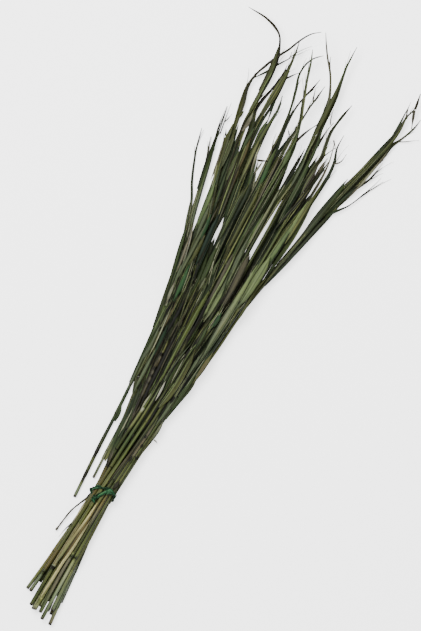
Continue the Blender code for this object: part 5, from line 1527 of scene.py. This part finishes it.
class REEDS_OT_threads(ReedOperator, bpy.types.Operator):
    """Makes the loose threads, buds and torn sheaths"""

    bl_idname = "reeds.threads"
    bl_label = "Threads and torn sheaths"

    def execute(self, context):
        rng = random.Random(THREAD_SEED)
        strands = []
        for name, half, path in THREADS:
            path = np.array(path, dtype=float)
            base = bunch.surface(path[0, 0], path[0, 1], 4.0)
            z = np.maximum(base * 0.8 + path[:, 2], LOWEST)
            rows = np.column_stack([path[:, :2], z, np.full(len(path), half)])
            places, fine = eased(rows, 2.5)
            width = 2.1 * fine[:, 3] * np.clip((places[-1] - places) / (0.6 * places[-1]), 0.35, 1)
            strands.append(Strand(fine[:, :3], width, 0.0, tone(name), 0.0, rng.random() * 10))
        for line in bunch.leaves.values():
            strands += [self.split_fibre(line, rng) for _ in range(3)]
        grown("reed_threads", strands, sweep("stem"), finish_of("stalk"), "leaf", Sides=6,
              Unevenness=0.0002)
        strands = []
        for number, low, high, name in SLEEVES:
            line, _ = bunch.canes[number]
            _, fine = eased(line, 3.0)
            inside = (fine[:, 1] > low) & (fine[:, 1] < high)
            rows = fine[inside]
            radius = rows[:, 3] + 0.45 - 0.25 * np.linspace(0, 1, len(rows))
            strands.append(Strand(rows[:, :3], radius, 0.0, tone(name), 0.0, rng.random() * 10))
        grown("reed_torn_sheaths", strands, sweep("stem"), finish_of("cane"), "cane", Sides=12,
              Unevenness=0.0005)
        return {"FINISHED"}

    def split_fibre(self, line, rng):
        """A fibre that has split from a leaf's edge towards its tip and stands off a little."""
        _, fine = eased(line[:, :4], 3.0)
        start = int(len(fine) * rng.uniform(0.70, 0.92))
        way = fine[start, :3] - fine[start - 4, :3]
        way /= np.linalg.norm(way)
        side = np.array((way[1], -way[0], 0.0)) * rng.choice((-1, 1))
        reach, bend = rng.uniform(10, 30), rng.uniform(0.03, 0.22)
        grow = np.linspace(0, 1, 8)[:, None]
        points = fine[start, :3] + 0.7 * fine[start, 3] * side
        points = points + reach * (grow * way + bend * grow**2 * side)
        points[:, 2] = np.maximum(points[:, 2], 0.6)
        name = rng.choice(("brown_dark", "leaf_dark", "grey_brown", "olive_dark"))
        half = rng.uniform(0.35, 0.6) * (1.0 - 0.7 * grow[:, 0])
        return Strand(points, half, 0.0, tone(name), 0.0, rng.random() * 10)


class REEDS_OT_stage(ReedOperator, bpy.types.Operator):
    """Makes the floor, the lights and the view from above"""

    bl_idname = "reeds.stage"
    bl_label = "Floor, lights and view"

    def execute(self, context):
        stage = context.scene.reed_stage
        self.floor(stage)
        self.lights(context.scene, stage)
        self.camera(context.scene, stage)
        return {"FINISHED"}

    def floor(self, stage):
        mesh = bpy.data.meshes.new("floor")
        corners = [(x * FLOOR_HALF, y * FLOOR_HALF, FLOOR_LEVEL) for x,
                   y in ((-1, -1), (1, -1), (1, 1), (-1, 1))]
        mesh.from_pydata(corners, [], [(0, 1, 2, 3)])
        floor = bpy.data.objects.new("floor", mesh)
        bpy.context.scene.collection.objects.link(floor)
        material = bpy.data.materials.new("floor")
        material.use_nodes = True
        shader = material.node_tree.nodes["Principled BSDF"]
        shader.inputs["Base Color"].default_value = (*[stage.floor_tone] * 3, 1)
        shader.inputs["Roughness"].default_value = 0.9
        shader.inputs["Specular IOR Level"].default_value = GLOSS
        shader.inputs["Emission Color"].default_value = (1, 1, 1, 1)
        shader.inputs["Emission Strength"].default_value = stage.glow
        mesh.materials.append(material)

    def lights(self, scene, stage):
        world = bpy.data.worlds.new("surroundings")
        world.use_nodes = True
        world.node_tree.nodes["Background"].inputs["Color"].default_value = (1, 1, 1, 1)
        world.node_tree.nodes["Background"].inputs["Strength"].default_value = stage.world
        scene.world = world
        for name, power, size, place in (
            ("key", stage.key, 1.2, (-0.8, 0.45, 2.4)),
            ("fill", stage.fill, 2.0, (1.6, -1.8, 2.0)),
        ):
            light = bpy.data.lights.new(name, "AREA")
            light.energy = power
            light.size = size
            lamp = bpy.data.objects.new(name, light)
            lamp.location = place
            lamp.rotation_mode = "QUATERNION"
            lamp.rotation_quaternion = (-Vector(place)).to_track_quat("-Z", "Y")
            lamp.visible_camera = False
            scene.collection.objects.link(lamp)

    def camera(self, scene, stage):
        view = bpy.data.cameras.new("camera")
        view.lens = stage.lens
        camera = bpy.data.objects.new("camera", view)
        away = PHOTO_HEIGHT * stage.lens / view.sensor_width
        spot = (np.array((*PHOTO_MIDDLE, VIEWED_LEVEL)) + TIE) * MM
        camera.location = (spot[0], spot[1], spot[2] + away * MM)
        camera.rotation_euler = (0, 0, math.radians(PHOTO_LEAN))
        scene.collection.objects.link(camera)
        scene.camera = camera


class REEDS_PT_panel(bpy.types.Panel):
    """Lists the steps and their settings"""

    bl_label = "Bunch of reeds"
    bl_space_type = "VIEW_3D"
    bl_region_type = "UI"
    bl_category = "Reeds"

    def draw(self, context):
        for settings in (context.scene.reed_sizes, context.scene.reed_tones, context.scene.reed_stage):
            box = self.layout.box()
            for label in settings.__annotations__:
                box.prop(settings, label)
        for step in STEPS:
            self.layout.operator(step.bl_idname)


STEPS = (REEDS_OT_canes, REEDS_OT_leaves, REEDS_OT_stalk, REEDS_OT_twine, REEDS_OT_strips,
         REEDS_OT_filling, REEDS_OT_threads, REEDS_OT_stage)
CLASSES = (ReedTones, ReedSizes, ReedStage, *STEPS, REEDS_PT_panel)


def register():
    for made in CLASSES:
        bpy.utils.register_class(made)
    bpy.types.Scene.reed_tones = PointerProperty(type=ReedTones)
    bpy.types.Scene.reed_sizes = PointerProperty(type=ReedSizes)
    bpy.types.Scene.reed_stage = PointerProperty(type=ReedStage)


def unregister():
    for label in ("reed_tones", "reed_sizes", "reed_stage"):
        delattr(bpy.types.Scene, label)
    for made in reversed(CLASSES):
        bpy.utils.unregister_class(made)


def main():
    register()
    for step in STEPS:
        group, label = step.bl_idname.split(".")
        getattr(getattr(bpy.ops, group), label)()


if __name__ == "__main__":
    main()
